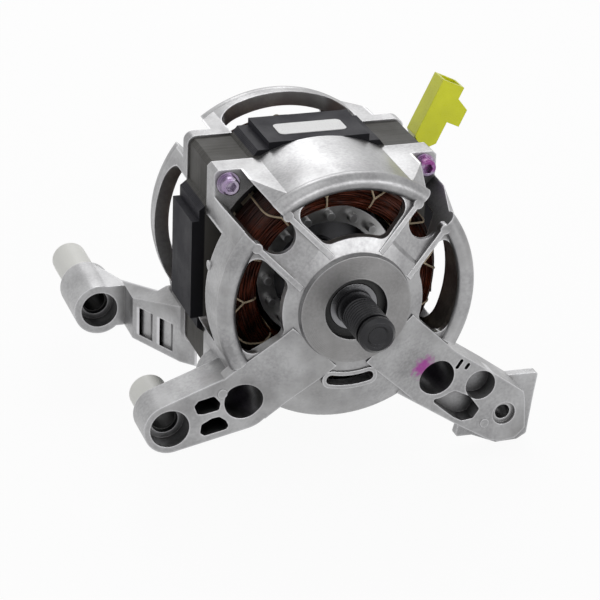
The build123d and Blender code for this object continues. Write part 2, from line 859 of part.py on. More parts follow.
# Rear bracket, the same form facing the other way
hoop_rear = core_rear + rear_arch_depth
rear_pads = core_rear + rear_pad_depth
with BuildPart() as rear_bracket:
    with BuildSketch(across(core_rear)):
        Circle(rear_hoop_radius)
        RectangleRounded(2 * rim_half, 2 * rim_half, rim_round)
    extrude(amount=-rear_arch_depth, taper=rear_hoop_taper)
    with BuildSketch(Plane.XY):
        Polygon(
            (0, core_rear - overrun),
            (rear_flare_radius + rim_half, core_rear - overrun),
            (rear_flare_radius + rim_half, rear_pads),
            (rear_flare_radius, rear_pads),
            (flare_front_radius, hoop_rear),
            (0, hoop_rear),
            align=None,
        )
    revolve(axis=Axis.Y, mode=Mode.INTERSECT)
    with BuildSketch(Plane.XY):
        Polygon(
            (0, core_rear - overrun),
            (arch_radius - arch_wall, core_rear - overrun),
            (arch_radius - arch_wall, core_rear),
            (arch_radius - arch_wall - dome_wall, hoop_rear),
            (arch_radius - arch_wall - dome_wall, hoop_rear + overrun),
            (0, hoop_rear + overrun),
            align=None,
        )
    revolve(axis=Axis.Y, mode=Mode.SUBTRACT)
    # rear face, hub and bead
    with BuildSketch(Plane.XY):
        with BuildLine():
            rear_face = Polyline(
                (rear_hub_opening, bracket_rear),
                (rear_hub_radius, bracket_rear),
                (rear_hub_radius + hub_edge, bracket_rear - hub_step),
                (window_outer, bracket_rear - window_station),
            )
            rear_bead = ThreePointArc(
                rear_face @ 1,
                ((window_outer + flare_front_radius) / 2, bracket_rear - window_station + rear_bead_swell),
                (flare_front_radius, hoop_rear),
            )
            Polyline(
                rear_bead @ 1,
                (arch_radius - arch_wall - dome_wall, hoop_rear),
                (window_outer, bracket_rear - window_station - dome_wall),
                (rear_boss_radius + hub_step, bracket_rear - hub_step - dome_wall),
                (rear_boss_radius, bracket_rear - hub_step - 2 * dome_wall),
                (rear_boss_radius, bracket_rear - rear_boss_depth),
                (rear_bearing_outer, bracket_rear - rear_boss_depth),
                (rear_bearing_outer, rear_bearing_station + rear_bearing_width),
                (rear_hub_opening, rear_bearing_station + rear_bearing_width),
                (rear_hub_opening, bracket_rear),
            )
        make_face()
    revolve(axis=Axis.Y)
    # kidney windows, and the channels behind the upper corners
    with BuildSketch(across(bracket_rear + overrun)) as rear_windows:
        Circle(window_outer)
        Circle(rear_window_inner, mode=Mode.SUBTRACT)
        for turn in (45, 135):
            with Locations(Rotation(0, 0, turn)):
                Rectangle(2 * (window_outer + overrun), 2 * spoke_half, mode=Mode.SUBTRACT)
        fillet(rear_windows.vertices(), window_round)
    extrude(amount=bracket_rear - hoop_rear + dome_wall + 2 * overrun, mode=Mode.SUBTRACT)
    with BuildSketch(across(rear_pads)):
        for turn in (45, 135):
            with Locations(Rotation(0, 0, turn)):
                with Locations((channel_near + channel_half, 0)):
                    Circle(channel_half)
                Polygon(
                    (channel_near + channel_half, -channel_half),
                    (2 * rear_flare_radius, -channel_half),
                    (2 * rear_flare_radius, channel_half),
                    (channel_near + channel_half, channel_half),
                    align=None,
                )
    extrude(amount=-rear_depth, mode=Mode.SUBTRACT)
    # open hoops on all four sides
    for turned in (Plane.YZ, Plane.XY):
        with BuildSketch(turned) as hoop_cut:
            if turned == Plane.YZ:
                Polygon(
                    (core_rear - overrun, -rear_cut_half),
                    (core_rear + rear_cut_depth, -rear_cut_half),
                    (core_rear + rear_cut_depth, rear_cut_half),
                    (core_rear - overrun, rear_cut_half),
                    align=None,
                )
                fillet(hoop_cut.vertices().sort_by(Axis.X)[-2:], side_cut_round)
            else:
                Polygon(
                    (-rear_cut_half, core_rear - overrun),
                    (-rear_cut_half, core_rear + rear_cut_depth),
                    (rear_cut_half, core_rear + rear_cut_depth),
                    (rear_cut_half, core_rear - overrun),
                    align=None,
                )
                fillet(hoop_cut.vertices().sort_by(Axis.Y)[-2:], side_cut_round)
        extrude(amount=2 * rim_half, both=True, mode=Mode.SUBTRACT)
    # corner pads and the bosses that the bolts thread into
    with BuildSketch(across(core_rear)):
        with Locations(*corners):
            Circle(deep_outer)
        Circle(winding_outer + rubber_gap, mode=Mode.SUBTRACT)
        RectangleRounded(2 * rim_half, 2 * rim_half, rim_round, mode=Mode.INTERSECT)
    extrude(amount=-rear_pad_depth)
    with BuildSketch(across(core_rear)):
        with Locations(*corners):
            Circle(boss_radius)
        RectangleRounded(2 * rim_half, 2 * rim_half, rim_round, mode=Mode.INTERSECT)
    extrude(amount=-boss_length)
    # arm that reaches back to the rear pivot
    arm_knee = rear_arm_front - rear_arm_knee
    arm_near_x = pivot_x + rear_pivot_radius
    with BuildSketch(Plane.XY.offset(rear_arm_bottom)) as arm_plan:
        Polygon(
            (rear_arm_root_x, core_rear),
            (-rim_half, rear_pads),
            (arm_near_x, arm_knee),
            (arm_near_x, rear_arm_front),
            (pivot_x, rear_arm_front),
            (pivot_x, rear_arm_rear),
            (pivot_x + rear_arm_wall, rear_arm_rear),
            (-arch_radius + rear_arm_wall, hoop_rear),
            (rear_arm_root_x, hoop_rear),
            align=None,
        )
    extrude(amount=rear_arm_root_top - rear_arm_bottom)
    with BuildSketch(across(core_rear - overrun)):
        Polygon(
            (pivot_x - rear_pivot_radius, rear_arm_top),
            (arm_near_x, rear_arm_top),
            (-rim_half, rear_arm_root_top),
            (-rim_half, rear_arm_root_top + overrun),
            (pivot_x - rear_pivot_radius, rear_arm_root_top + overrun),
            align=None,
        )
    extrude(amount=-(rear_arm_rear - core_rear + 2 * overrun), mode=Mode.SUBTRACT)
    # two webbed hollows in the arm's slanted front face
    hollow_near = -rim_half - rear_web
    hollow_far = arm_near_x + rear_web
    hollow_middle = (hollow_near + hollow_far) / 2
    arm_slope = (arm_knee - rear_pads) / (arm_near_x + rim_half)
    with BuildSketch(Plane.XY.offset(rear_arm_bottom + rear_arm_wall)):
        for first_x, last_x in (
            (hollow_near, hollow_middle + rear_web / 2),
            (hollow_middle - rear_web / 2, hollow_far),
        ):
            Polygon(
                (first_x, rear_pads - overrun),
                (first_x, rear_pads + (first_x + rim_half) * arm_slope + rear_pocket_depth),
                (last_x, rear_pads + (last_x + rim_half) * arm_slope + rear_pocket_depth),
                (last_x, rear_pads - overrun),
                align=None,
            )
    extrude(amount=rear_arm_top - rear_arm_bottom - 2 * rear_arm_wall, mode=Mode.SUBTRACT)
    with BuildSketch(across(rear_arm_front)):
        with Locations(pivot):
            Circle(rear_pivot_radius)
    extrude(amount=-rear_arm_depth)
    with BuildSketch(across(rear_arm_front - overrun)):
        with Locations(pivot):
            Circle(pivot_mouth_radius)
    extrude(amount=-(pivot_mouth_depth + overrun), mode=Mode.SUBTRACT)
    with BuildSketch(across(rear_arm_front)):
        with Locations(pivot):
            Circle(pivot_neck_radius)
    extrude(amount=-rear_arm_depth, mode=Mode.SUBTRACT)
    with BuildSketch(across(rear_arm_front + pivot_mouth_depth + pivot_neck_length)):
        with Locations(pivot):
            Circle(bush_radius)
    extrude(amount=-rear_arm_depth, mode=Mode.SUBTRACT)
    # tab that the plug housing stands on
    foot_high = plug_plane.from_local_coords(Vector(-plug_foot, plug_foot - plug_half, 0))
    foot_low = plug_plane.from_local_coords(Vector(-plug_foot, plug_half - plug_foot, 0))
    with BuildSketch(across(plug_station)):
        Polygon(
            (rim_half - rim_round, tab_base),
            (foot_low.X, foot_low.Z),
            (foot_high.X, foot_high.Z),
            (rim_half - rim_round, tab_base + tab_height),
            align=None,
        )
    extrude(amount=-tab_depth)
    # threaded holes
    with BuildSketch(across(core_rear - overrun)):
        with Locations(*corners):
            Circle(bolt_radius)
    extrude(amount=-(bolt_engagement + 2 * overrun), mode=Mode.SUBTRACT)
rear_bracket.part.label = "rear_bracket"
export_step(rear_bracket.part, "parts/rear_bracket.step")

# Through bolts, flanged round heads with a hexagon socket
bolt_length = core_rear + bolt_engagement - pad_front
with BuildPart() as through_bolts:
    with BuildSketch(across(pad_front)):
        with Locations(*corners):
            Circle(bolt_radius)
    extrude(amount=-bolt_length)
    with BuildSketch(across(pad_front)):
        with Locations(*corners):
            Circle(bolt_flange_radius)
    extrude(amount=bolt_flange_height)
    with BuildSketch(across(pad_front - bolt_flange_height)):
        with Locations(*corners):
            Circle(bolt_head_radius)
    extrude(amount=bolt_head_height)
    head_front = pad_front - bolt_flange_height - bolt_head_height
    fillet(through_bolts.edges().group_by(Axis.Y)[0], bolt_head_round)
    with BuildSketch(across(head_front)):
        with Locations(*corners):
            RegularPolygon(bolt_socket_across / 2, 6, major_radius=False)
    extrude(amount=-bolt_socket_depth, mode=Mode.SUBTRACT)
through_bolts.part.label = "through_bolts"
export_step(through_bolts.part, "parts/through_bolts.step")

# Bushes pressed into the pivot bores from behind
with BuildPart() as pivot_bushes:
    for seat, rear, stand_out in (
        (arm_front + pivot_mouth_depth + pivot_neck_length, arm_rear, bush_stand_out),
        (rear_arm_front + pivot_mouth_depth + pivot_neck_length, rear_arm_rear, rear_bush_stand_out),
    ):
        with BuildSketch(across(seat)):
            with Locations(pivot):
                Circle(bush_radius)
                Circle(bush_bore, mode=Mode.SUBTRACT)
        extrude(amount=-(rear + stand_out - seat))
    bush_ends = pivot_bushes.edges().filter_by(GeomType.CIRCLE)
    chamfer([e for e in bush_ends if abs(e.radius - bush_radius) < slip_gap and e.center().Y > arm_rear
             and abs(e.center().Y - rear_arm_front - pivot_mouth_depth - pivot_neck_length) > slip_gap], bush_chamfer)
pivot_bushes.part.label = "pivot_bushes"
export_step(pivot_bushes.part, "parts/pivot_bushes.step")

# Bearings
for place, inner, outer, station, width, ball_radius, ball_count in (
    ("front", front_bearing_inner, front_bearing_outer, front_bearing_station, front_bearing_width,
     front_ball_radius, front_ball_count),
    ("rear", rear_bearing_inner, rear_bearing_outer, rear_bearing_station, rear_bearing_width,
     rear_ball_radius, rear_ball_count),
):
    pitch = (inner + outer) / 2
    race = ball_radius + race_gap
    with BuildPart() as inner_ring:
        with BuildSketch(Plane.XY) as inner_face:
            with Locations((inner + ring_wall / 2, station + width / 2)):
                Rectangle(ring_wall, width)
            with Locations((pitch, station + width / 2)):
                Circle(race, mode=Mode.SUBTRACT)
        revolve(axis=Axis.Y)
    inner_ring.part.label = place + "_bearing_inner_ring"
    export_step(inner_ring.part, "parts/" + place + "_bearing_inner_ring.step")
    with BuildPart() as outer_ring:
        with BuildSketch(Plane.XY) as outer_face:
            with Locations((outer - ring_wall / 2, station + width / 2)):
                Rectangle(ring_wall, width)
            with Locations((pitch, station + width / 2)):
                Circle(race, mode=Mode.SUBTRACT)
        revolve(axis=Axis.Y)
    outer_ring.part.label = place + "_bearing_outer_ring"
    export_step(outer_ring.part, "parts/" + place + "_bearing_outer_ring.step")
    ball_plane = Plane.XZ.offset(-station - width / 2)
    with BuildPart() as ball_set:
        with Locations(ball_plane):
            with PolarLocations(pitch, ball_count):
                Sphere(ball_radius)
    ball_set.part.label = place + "_bearing_balls"
    export_step(ball_set.part, "parts/" + place + "_bearing_balls.step")
    with BuildPart() as ball_cage:
        with BuildSketch(across(station + width / 2 - cage_front)):
            Circle(pitch + cage_wall / 2)
            Circle(pitch - cage_wall / 2, mode=Mode.SUBTRACT)
        extrude(amount=-cage_width)
        with Locations(ball_plane):
            with PolarLocations(pitch, ball_count):
                Sphere(ball_radius + slip_gap, mode=Mode.SUBTRACT)
    ball_cage.part.label = place + "_bearing_cage"
    export_step(ball_cage.part, "parts/" + place + "_bearing_cage.step")
    with BuildPart() as seal_pair:
        for seal_station in (station + seal_inset, station + width - seal_inset - seal_wall):
            with BuildSketch(across(seal_station)):
                Circle(outer - ring_wall)
                Circle(inner + ring_wall + rubber_gap, mode=Mode.SUBTRACT)
            extrude(amount=-seal_wall)
    seal_pair.part.label = place + "_bearing_seals"
    export_step(seal_pair.part, "parts/" + place + "_bearing_seals.step")

# Rotor core, and the cage that is cast through it
bar_low = rotor_bar_radius - rotor_bar_height / 2
bar_high = rotor_bar_radius + rotor_bar_height / 2
with BuildPart() as rotor_core:
    with BuildSketch(across(rotor_front)):
        Circle(rotor_radius)
        Circle(rotor_seat_radius, mode=Mode.SUBTRACT)
        with PolarLocations(rotor_bar_radius, rotor_bar_count):
            Rectangle(rotor_bar_height, rotor_bar_width, mode=Mode.SUBTRACT)
    extrude(amount=-rotor_length)
rotor_core.part.label = "rotor_core"
export_step(rotor_core.part, "parts/rotor_core.step")

with BuildPart() as rotor_cage:
    with BuildSketch(across(rotor_front)):
        Circle(end_ring_outer)
        Circle(end_ring_inner, mode=Mode.SUBTRACT)
    extrude(amount=end_ring_length)
    with BuildSketch(across(rotor_rear)):
        Circle(end_ring_outer)
        Circle(end_ring_inner, mode=Mode.SUBTRACT)
    extrude(amount=-end_ring_length)
    with BuildSketch(across(rotor_front)):
        with PolarLocations(rotor_bar_radius, rotor_bar_count):
            Rectangle(rotor_bar_height, rotor_bar_width)
    extrude(amount=-rotor_length)
    with BuildSketch(across(rotor_front - end_ring_length)):
        with PolarLocations(peg_circle, peg_count):
            Circle(peg_radius)
    extrude(amount=peg_length)
    with BuildSketch(across(rotor_rear + end_ring_length)):
        with PolarLocations(peg_circle, peg_count):
            Circle(peg_radius)
    extrude(amount=-peg_length)
rotor_cage.part.label = "rotor_cage"
export_step(rotor_cage.part, "parts/rotor_cage.step")

# Shaft with its grooved pulley end
tip = -shaft_reach
groove_front = tip + collar_length + neck_width + pulley_margin
with BuildPart() as shaft:
    with BuildSketch(Plane.XY):
        Polygon(
            (0, tip + centre_recess_depth),
            (centre_recess_radius - centre_recess_depth, tip + centre_recess_depth),
            (centre_recess_radius, tip),
            (pulley_radius - collar_chamfer, tip),
            (pulley_radius, tip + collar_chamfer),
            (pulley_radius, tip + collar_length),
            (pulley_radius - neck_depth, tip + collar_length),
            (pulley_radius - neck_depth, tip + collar_length + neck_width),
            (pulley_radius, tip + collar_length + neck_width),
            (pulley_radius, relief_front),
            (pulley_radius - relief_depth, relief_front),
            (pulley_radius - relief_depth, relief_front + relief_width),
            (front_bearing_inner, relief_front + relief_width),
            (front_bearing_inner, bearing_seat_rear),
            (front_bearing_inner + bearing_shoulder, bearing_seat_rear),
            (front_bearing_inner + bearing_shoulder, rotor_front - rotor_seat_margin),
            (rotor_seat_radius, rotor_front - rotor_seat_margin),
            (rotor_seat_radius, rotor_rear + rotor_seat_margin),
            (rear_bearing_inner + bearing_shoulder, rotor_rear + rotor_seat_margin),
            (rear_bearing_inner + bearing_shoulder, rear_bearing_station),
            (rear_bearing_inner, rear_bearing_station),
            (rear_bearing_inner, rear_bearing_station + rear_bearing_width),
            (rear_stub_radius, rear_bearing_station + rear_bearing_width),
            (rear_stub_radius, bracket_rear + rear_stub_length),
            (0, bracket_rear + rear_stub_length),
            align=None,
        )
    revolve(axis=Axis.Y)
    with BuildSketch(Plane.XY):
        for number in range(groove_count):
            middle = groove_front + (number + 0.5) * groove_pitch
            Polygon(
                (pulley_radius + slip_gap, middle - groove_pitch / 3),
                (pulley_radius + slip_gap, middle + groove_pitch / 3),
                (pulley_radius - groove_depth, middle),
                align=None,
            )
    revolve(axis=Axis.Y, mode=Mode.SUBTRACT)
shaft.part.label = "shaft"
export_step(shaft.part, "parts/shaft.step")

# Speed sensor, a magnet on the shaft's rear end, its coil and the cover
with BuildPart() as sensor_magnet:
    with BuildSketch(across(bracket_rear + overrun)):
        Circle(magnet_radius)
        Circle(rear_stub_radius, mode=Mode.SUBTRACT)
    extrude(amount=-magnet_width)
sensor_magnet.part.label = "sensor_magnet"
export_step(sensor_magnet.part, "parts/sensor_magnet.step")

with BuildPart() as sensor_coil:
    with BuildSketch(across(bracket_rear)):
        Circle(coil_outer)
        Circle(coil_inner, mode=Mode.SUBTRACT)
    extrude(amount=-coil_width)
sensor_coil.part.label = "sensor_coil"
export_step(sensor_coil.part, "parts/sensor_coil.step")

cover_inside = rear_stub_length + overrun
with BuildPart() as sensor_cover:
    with BuildSketch(across(bracket_rear)):
        Circle(cover_rim)
    extrude(amount=-(cover_inside + cover_wall))
    with BuildSketch(across(bracket_rear)):
        Circle(coil_outer + slip_gap)
    extrude(amount=-cover_inside, mode=Mode.SUBTRACT)
sensor_cover.part.label = "sensor_cover"
export_step(sensor_cover.part, "parts/sensor_cover.step")

# Plug housing on its tab, with a stepped side, and its pins
with BuildPart() as plug_housing:
    with BuildSketch(plug_plane):
        Polygon(
            (-plug_foot, -plug_half + plug_foot),
            (-plug_foot, plug_half - plug_foot),
            (0, plug_half),
            (plug_length, plug_half),
            (plug_length, -plug_half),
            (0, -plug_half),
            align=None,
        )
    extrude(amount=plug_depth)
    with BuildSketch(plug_plane):
        Polygon(
            (plug_step_start, 0),
            (plug_step_start, -plug_half - plug_step_reach),
            (plug_step_end, -plug_half - plug_step_reach),
            (plug_step_end + plug_foot, -plug_half),
            (plug_step_end + plug_foot, 0),
            align=None,
        )
    extrude(amount=plug_step_depth)
    with BuildSketch(plug_plane.offset(plug_wall)):
        Polygon(
            (plug_length - plug_cavity_depth, plug_wall - plug_half),
            (plug_length + overrun, plug_wall - plug_half),
            (plug_length + overrun, plug_half - plug_wall),
            (plug_length - plug_cavity_depth, plug_half - plug_wall),
            align=None,
        )
    extrude(amount=plug_depth - 2 * plug_wall, mode=Mode.SUBTRACT)
    with BuildSketch(plug_plane.offset(plug_depth / 2 - pin_width / 2)):
        with Locations((plug_length - plug_cavity_depth / 2 - pin_length / 2, 0)):
            with GridLocations(0, pin_pitch, 1, pin_count):
                Rectangle(pin_length, pin_width)
    extrude(amount=pin_width, mode=Mode.SUBTRACT)
plug_housing.part.label = "plug_housing"
export_step(plug_housing.part, "parts/plug_housing.step")

with BuildPart() as plug_pins:
    with BuildSketch(plug_plane.offset(plug_depth / 2 - pin_width / 2)):
        with Locations((plug_length - plug_cavity_depth / 2 - pin_length / 2, 0)):
            with GridLocations(0, pin_pitch, 1, pin_count):
                Rectangle(pin_length, pin_width)
    extrude(amount=pin_width)
plug_pins.part.label = "plug_pins"
export_step(plug_pins.part, "parts/plug_pins.step")
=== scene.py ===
"""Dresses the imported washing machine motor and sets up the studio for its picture."""

import logging
import math
import random
from dataclasses import dataclass
from enum import Enum
from typing import Any, Sequence

import bmesh
import bpy
from mathutils import Matrix, Vector


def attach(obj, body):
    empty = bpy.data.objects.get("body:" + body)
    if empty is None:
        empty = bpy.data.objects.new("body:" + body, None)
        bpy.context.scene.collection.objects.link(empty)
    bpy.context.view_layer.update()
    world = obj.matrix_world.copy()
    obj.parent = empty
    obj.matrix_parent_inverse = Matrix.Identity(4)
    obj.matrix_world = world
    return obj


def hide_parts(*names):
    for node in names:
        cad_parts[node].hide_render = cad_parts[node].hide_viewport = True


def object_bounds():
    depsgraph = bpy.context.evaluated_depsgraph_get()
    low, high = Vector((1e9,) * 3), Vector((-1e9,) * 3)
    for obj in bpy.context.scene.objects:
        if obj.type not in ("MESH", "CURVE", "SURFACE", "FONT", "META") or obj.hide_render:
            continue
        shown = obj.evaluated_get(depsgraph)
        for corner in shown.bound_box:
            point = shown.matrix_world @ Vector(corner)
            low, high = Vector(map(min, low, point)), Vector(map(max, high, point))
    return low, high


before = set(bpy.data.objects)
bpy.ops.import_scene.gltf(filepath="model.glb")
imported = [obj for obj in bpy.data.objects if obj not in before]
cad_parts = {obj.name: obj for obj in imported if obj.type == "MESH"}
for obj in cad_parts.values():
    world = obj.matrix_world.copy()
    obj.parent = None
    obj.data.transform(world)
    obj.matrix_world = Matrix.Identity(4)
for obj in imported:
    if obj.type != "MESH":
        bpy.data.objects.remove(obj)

LOG = logging.getLogger("motor")
MM = 0.001
ONE_RING_A_MM = 2000 * math.pi
PROBES = 6
MERGE_MM = 0.002
SLIVER_MM = 0.001
FLAT_DEGREES = 0.15
SMOOTH_DEGREES = 24.0
ROUND_DEGREES = 60.0
Colour = tuple[float, float, float]
CAD_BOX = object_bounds()


class Body(str, Enum):
    """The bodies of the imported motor."""

    FRAME = "motor_frame"
    ROTOR = "rotor"
    FRONT_BALLS = "front_balls"
    REAR_BALLS = "rear_balls"


class Signal:
    """A number's socket, with shader maths written as plain arithmetic."""

    def __init__(self, bench: "Bench", socket: bpy.types.NodeSocket) -> None:
        """Wraps a socket.

        Args:
            bench: The bench that adds nodes for this material.
            socket: The output socket that carries the number.
        """
        self.bench = bench
        self.socket = socket

    def _math(self, operation: str, first: Any, second: Any = 0.0) -> "Signal":
        """Adds one Math node.

        Args:
            operation: The node's operation.
            first: The first value or signal.
            second: The second value or signal.

        Returns:
            The node's result.
        """
        return self.bench.node("ShaderNodeMath", {"operation": operation}, {0: first, 1: second})

    def __add__(self, other: Any) -> "Signal":
        """Sum."""
        return self._math("ADD", self, other)

    def __sub__(self, other: Any) -> "Signal":
        """Difference."""
        return self._math("SUBTRACT", self, other)

    def __rsub__(self, other: Any) -> "Signal":
        """Difference from a number."""
        return self._math("SUBTRACT", other, self)

    def __mul__(self, other: Any) -> "Signal":
        """Product."""
        return self._math("MULTIPLY", self, other)

    def root(self) -> "Signal":
        """Square root."""
        return self._math("SQRT", self)

    def wave(self) -> "Signal":
        """Sine."""
        return self._math("SINE", self)

    def size(self) -> "Signal":
        """The value without its sign."""
        return self._math("ABSOLUTE", self)

    def larger(self, other: Any) -> "Signal":
        """The larger of two."""
        return self._math("MAXIMUM", self, other)

    def span(self, low: float, high: float, to_low: float, to_high: float) -> "Signal":
        """Maps a range of the signal to another range, held at its ends.

        Args:
            low: The range's lower end.
            high: The range's upper end.
            to_low: What the lower end becomes.
            to_high: What the upper end becomes.

        Returns:
            The mapped signal.
        """
        values = {"Value": self, "From Min": low, "From Max": high, "To Min": to_low, "To Max": to_high}
        return self.bench.node("ShaderNodeMapRange", {"clamp": True}, values)


class Bench:
    """Builds one material's nodes."""

    def __init__(self, name: str) -> None:
        """Starts a material with a Principled shader.

        Args:
            name: The material's name.
        """
        self.material = bpy.data.materials.new(name)
        self.material.use_nodes = True
        self.tree = self.material.node_tree
        self.shader = self.tree.nodes["Principled BSDF"]

    def node(self, kind: str, settings: dict[str, Any], values: dict[Any, Any], output: Any = 0) -> Signal:
        """Adds any node.

        Args:
            kind: The node's type.
            settings: Its properties, set before its sockets.
            values: Numbers, colours or signals for its sockets, by name or number.
            output: The output socket's name or number.

        Returns:
            The chosen output.
        """
        made = self.tree.nodes.new(kind)
        for key, value in settings.items():
            setattr(made, key, value)
        for key, value in values.items():
            if isinstance(value, Signal):
                self.tree.links.new(value.socket, made.inputs[key])
            else:
                made.inputs[key].default_value = value
        return Signal(self, made.outputs[output])

    def place(self, stretch: Sequence[float] = (1.0, 1.0, 1.0)) -> Signal:
        """Object coordinates, stretched.

        Args:
            stretch: The factor along each axis.

        Returns:
            The coordinates.
        """
        here = self.node("ShaderNodeTexCoord", {}, {}, "Object")
        return self.node("ShaderNodeMapping", {}, {"Vector": here, "Scale": tuple(stretch)})

    def axes(self) -> tuple[Signal, Signal, Signal]:
        """The three object coordinates apart."""
        here = self.node("ShaderNodeTexCoord", {}, {}, "Object")
        parts = [self.node("ShaderNodeSeparateXYZ", {}, {0: here}, index) for index in range(3)]
        return parts[0], parts[1], parts[2]

    def noise(self, scale: float, detail: float = 3.0, stretch: Sequence[float] = (1.0, 1.0, 1.0)) -> Signal:
        """Noise on object coordinates.

        Args:
            scale: Cells to the metre.
            detail: Octaves.
            stretch: The factor along each axis.

        Returns:
            The noise's value.
        """
        values = {"Vector": self.place(stretch), "Scale": scale, "Detail": detail}
        return self.node("ShaderNodeTexNoise", {}, values)

    def from_shaft(self) -> Signal:
        """Distance from the shaft's axis."""
        across, _, up = self.axes()
        return (across * across + up * up).root()

    def hollow(self, reach_mm: float, shut: float = 0.08, clear: float = 0.36) -> Signal:
        """How shut in the surface is: nothing in the open, one deep inside a hole.

        Args:
            reach_mm: How far walls count.
            shut: The share of open sky that counts as deep inside.
            clear: The share that counts as the open.

        Returns:
            The share.
        """
        values = {"Distance": reach_mm * MM}
        seen = self.node("ShaderNodeAmbientOcclusion", {"samples": PROBES}, values, "AO")
        return seen.span(shut, clear, 1, 0)

    def edge(self, reach_mm: float) -> Signal:
        """How near a sharp outer edge is: nothing on a flat face, one on the edge.

        Args:
            reach_mm: How wide the rim is.

        Returns:
            The share.
        """
        sharp, flat = 0.45, 0.85
        settings = {"samples": PROBES, "inside": True}
        seen = self.node("ShaderNodeAmbientOcclusion", settings, {"Distance": reach_mm * MM}, "AO")
        return seen.span(sharp, flat, 1, 0)

    def spot(self, place_mm: Sequence[float], radius_mm: float) -> Signal:
        """A smudge with a ragged edge.

        Args:
            place_mm: Its middle.
            radius_mm: Its reach.

        Returns:
            Nearly one inside it, nothing outside.
        """
        wander, solid, cover = 1.6, 0.35, 0.9
        reach = radius_mm * MM
        here = self.node("ShaderNodeTexCoord", {}, {}, "Object")
        middle = tuple(part * MM for part in place_mm)
        gap = self.node("ShaderNodeVectorMath", {"operation": "DISTANCE"}, {0: here, 1: middle}, "Value")
        ragged = gap + (self.noise(420, 4) - 0.5) * (reach * wander)
        return ragged.span(reach * solid, reach, cover, 0)

    def blend(self, factor: Any, first: Any, second: Any) -> Signal:
        """Mixes two colours.

        Args:
            factor: The share of the second colour.
            first: The first colour.
            second: The second colour.

        Returns:
            The mixed colour.
        """
        colours = [value if isinstance(value, Signal) else (*value, 1.0) for value in (first, second)]
        settings = {"data_type": "RGBA"}
        return self.node("ShaderNodeMix", settings, {0: factor, 6: colours[0], 7: colours[1]}, 2)

    def colour(self, value: Any) -> None:
        """Sets or links the base colour."""
        self._feed("Base Color", value if isinstance(value, Signal) else (*value, 1.0))

    def _feed(self, socket: str, value: Any) -> None:
        """Sets or links a socket of the shader."""
        if isinstance(value, Signal):
            self.tree.links.new(value.socket, self.shader.inputs[socket])
        else:
            self.shader.inputs[socket].default_value = value

    def surface(self, roughness: Any, metallic: Any = 0.0, shine: float = 0.5) -> None:
        """Sets the gloss.

        Args:
            roughness: A number or signal.
            metallic: A number or signal.
            shine: How strongly what isn't metal reflects.
        """
        self._feed("Roughness", roughness)
        self._feed("Metallic", metallic)
        self._feed("Specular IOR Level", shine)

    def relief(self, height: Signal, depth_mm: float, edge_mm: float = 0.0) -> None:
        """Feeds a bump, over softened edges where an edge radius is given.

        Args:
            height: The height, from nothing to one.
            depth_mm: The depth of the relief.
            edge_mm: The radius that edges are softened to.
        """
        values = {"Height": height, "Distance": depth_mm * MM, "Strength": 1.0}
        if edge_mm:
            values["Normal"] = self.node("ShaderNodeBevel", {"samples": PROBES}, {"Radius": edge_mm * MM})
        bump = self.node("ShaderNodeBump", {}, values)
        self.tree.links.new(bump.socket, self.shader.inputs["Normal"])


@dataclass(frozen=True)
class Smudge:
    """A dab of inspection paint: its middle and reach in millimetres."""

    place: tuple[float, float, float]
    radius: float
    colour: Colour = (0.36, 0.01, 0.3)


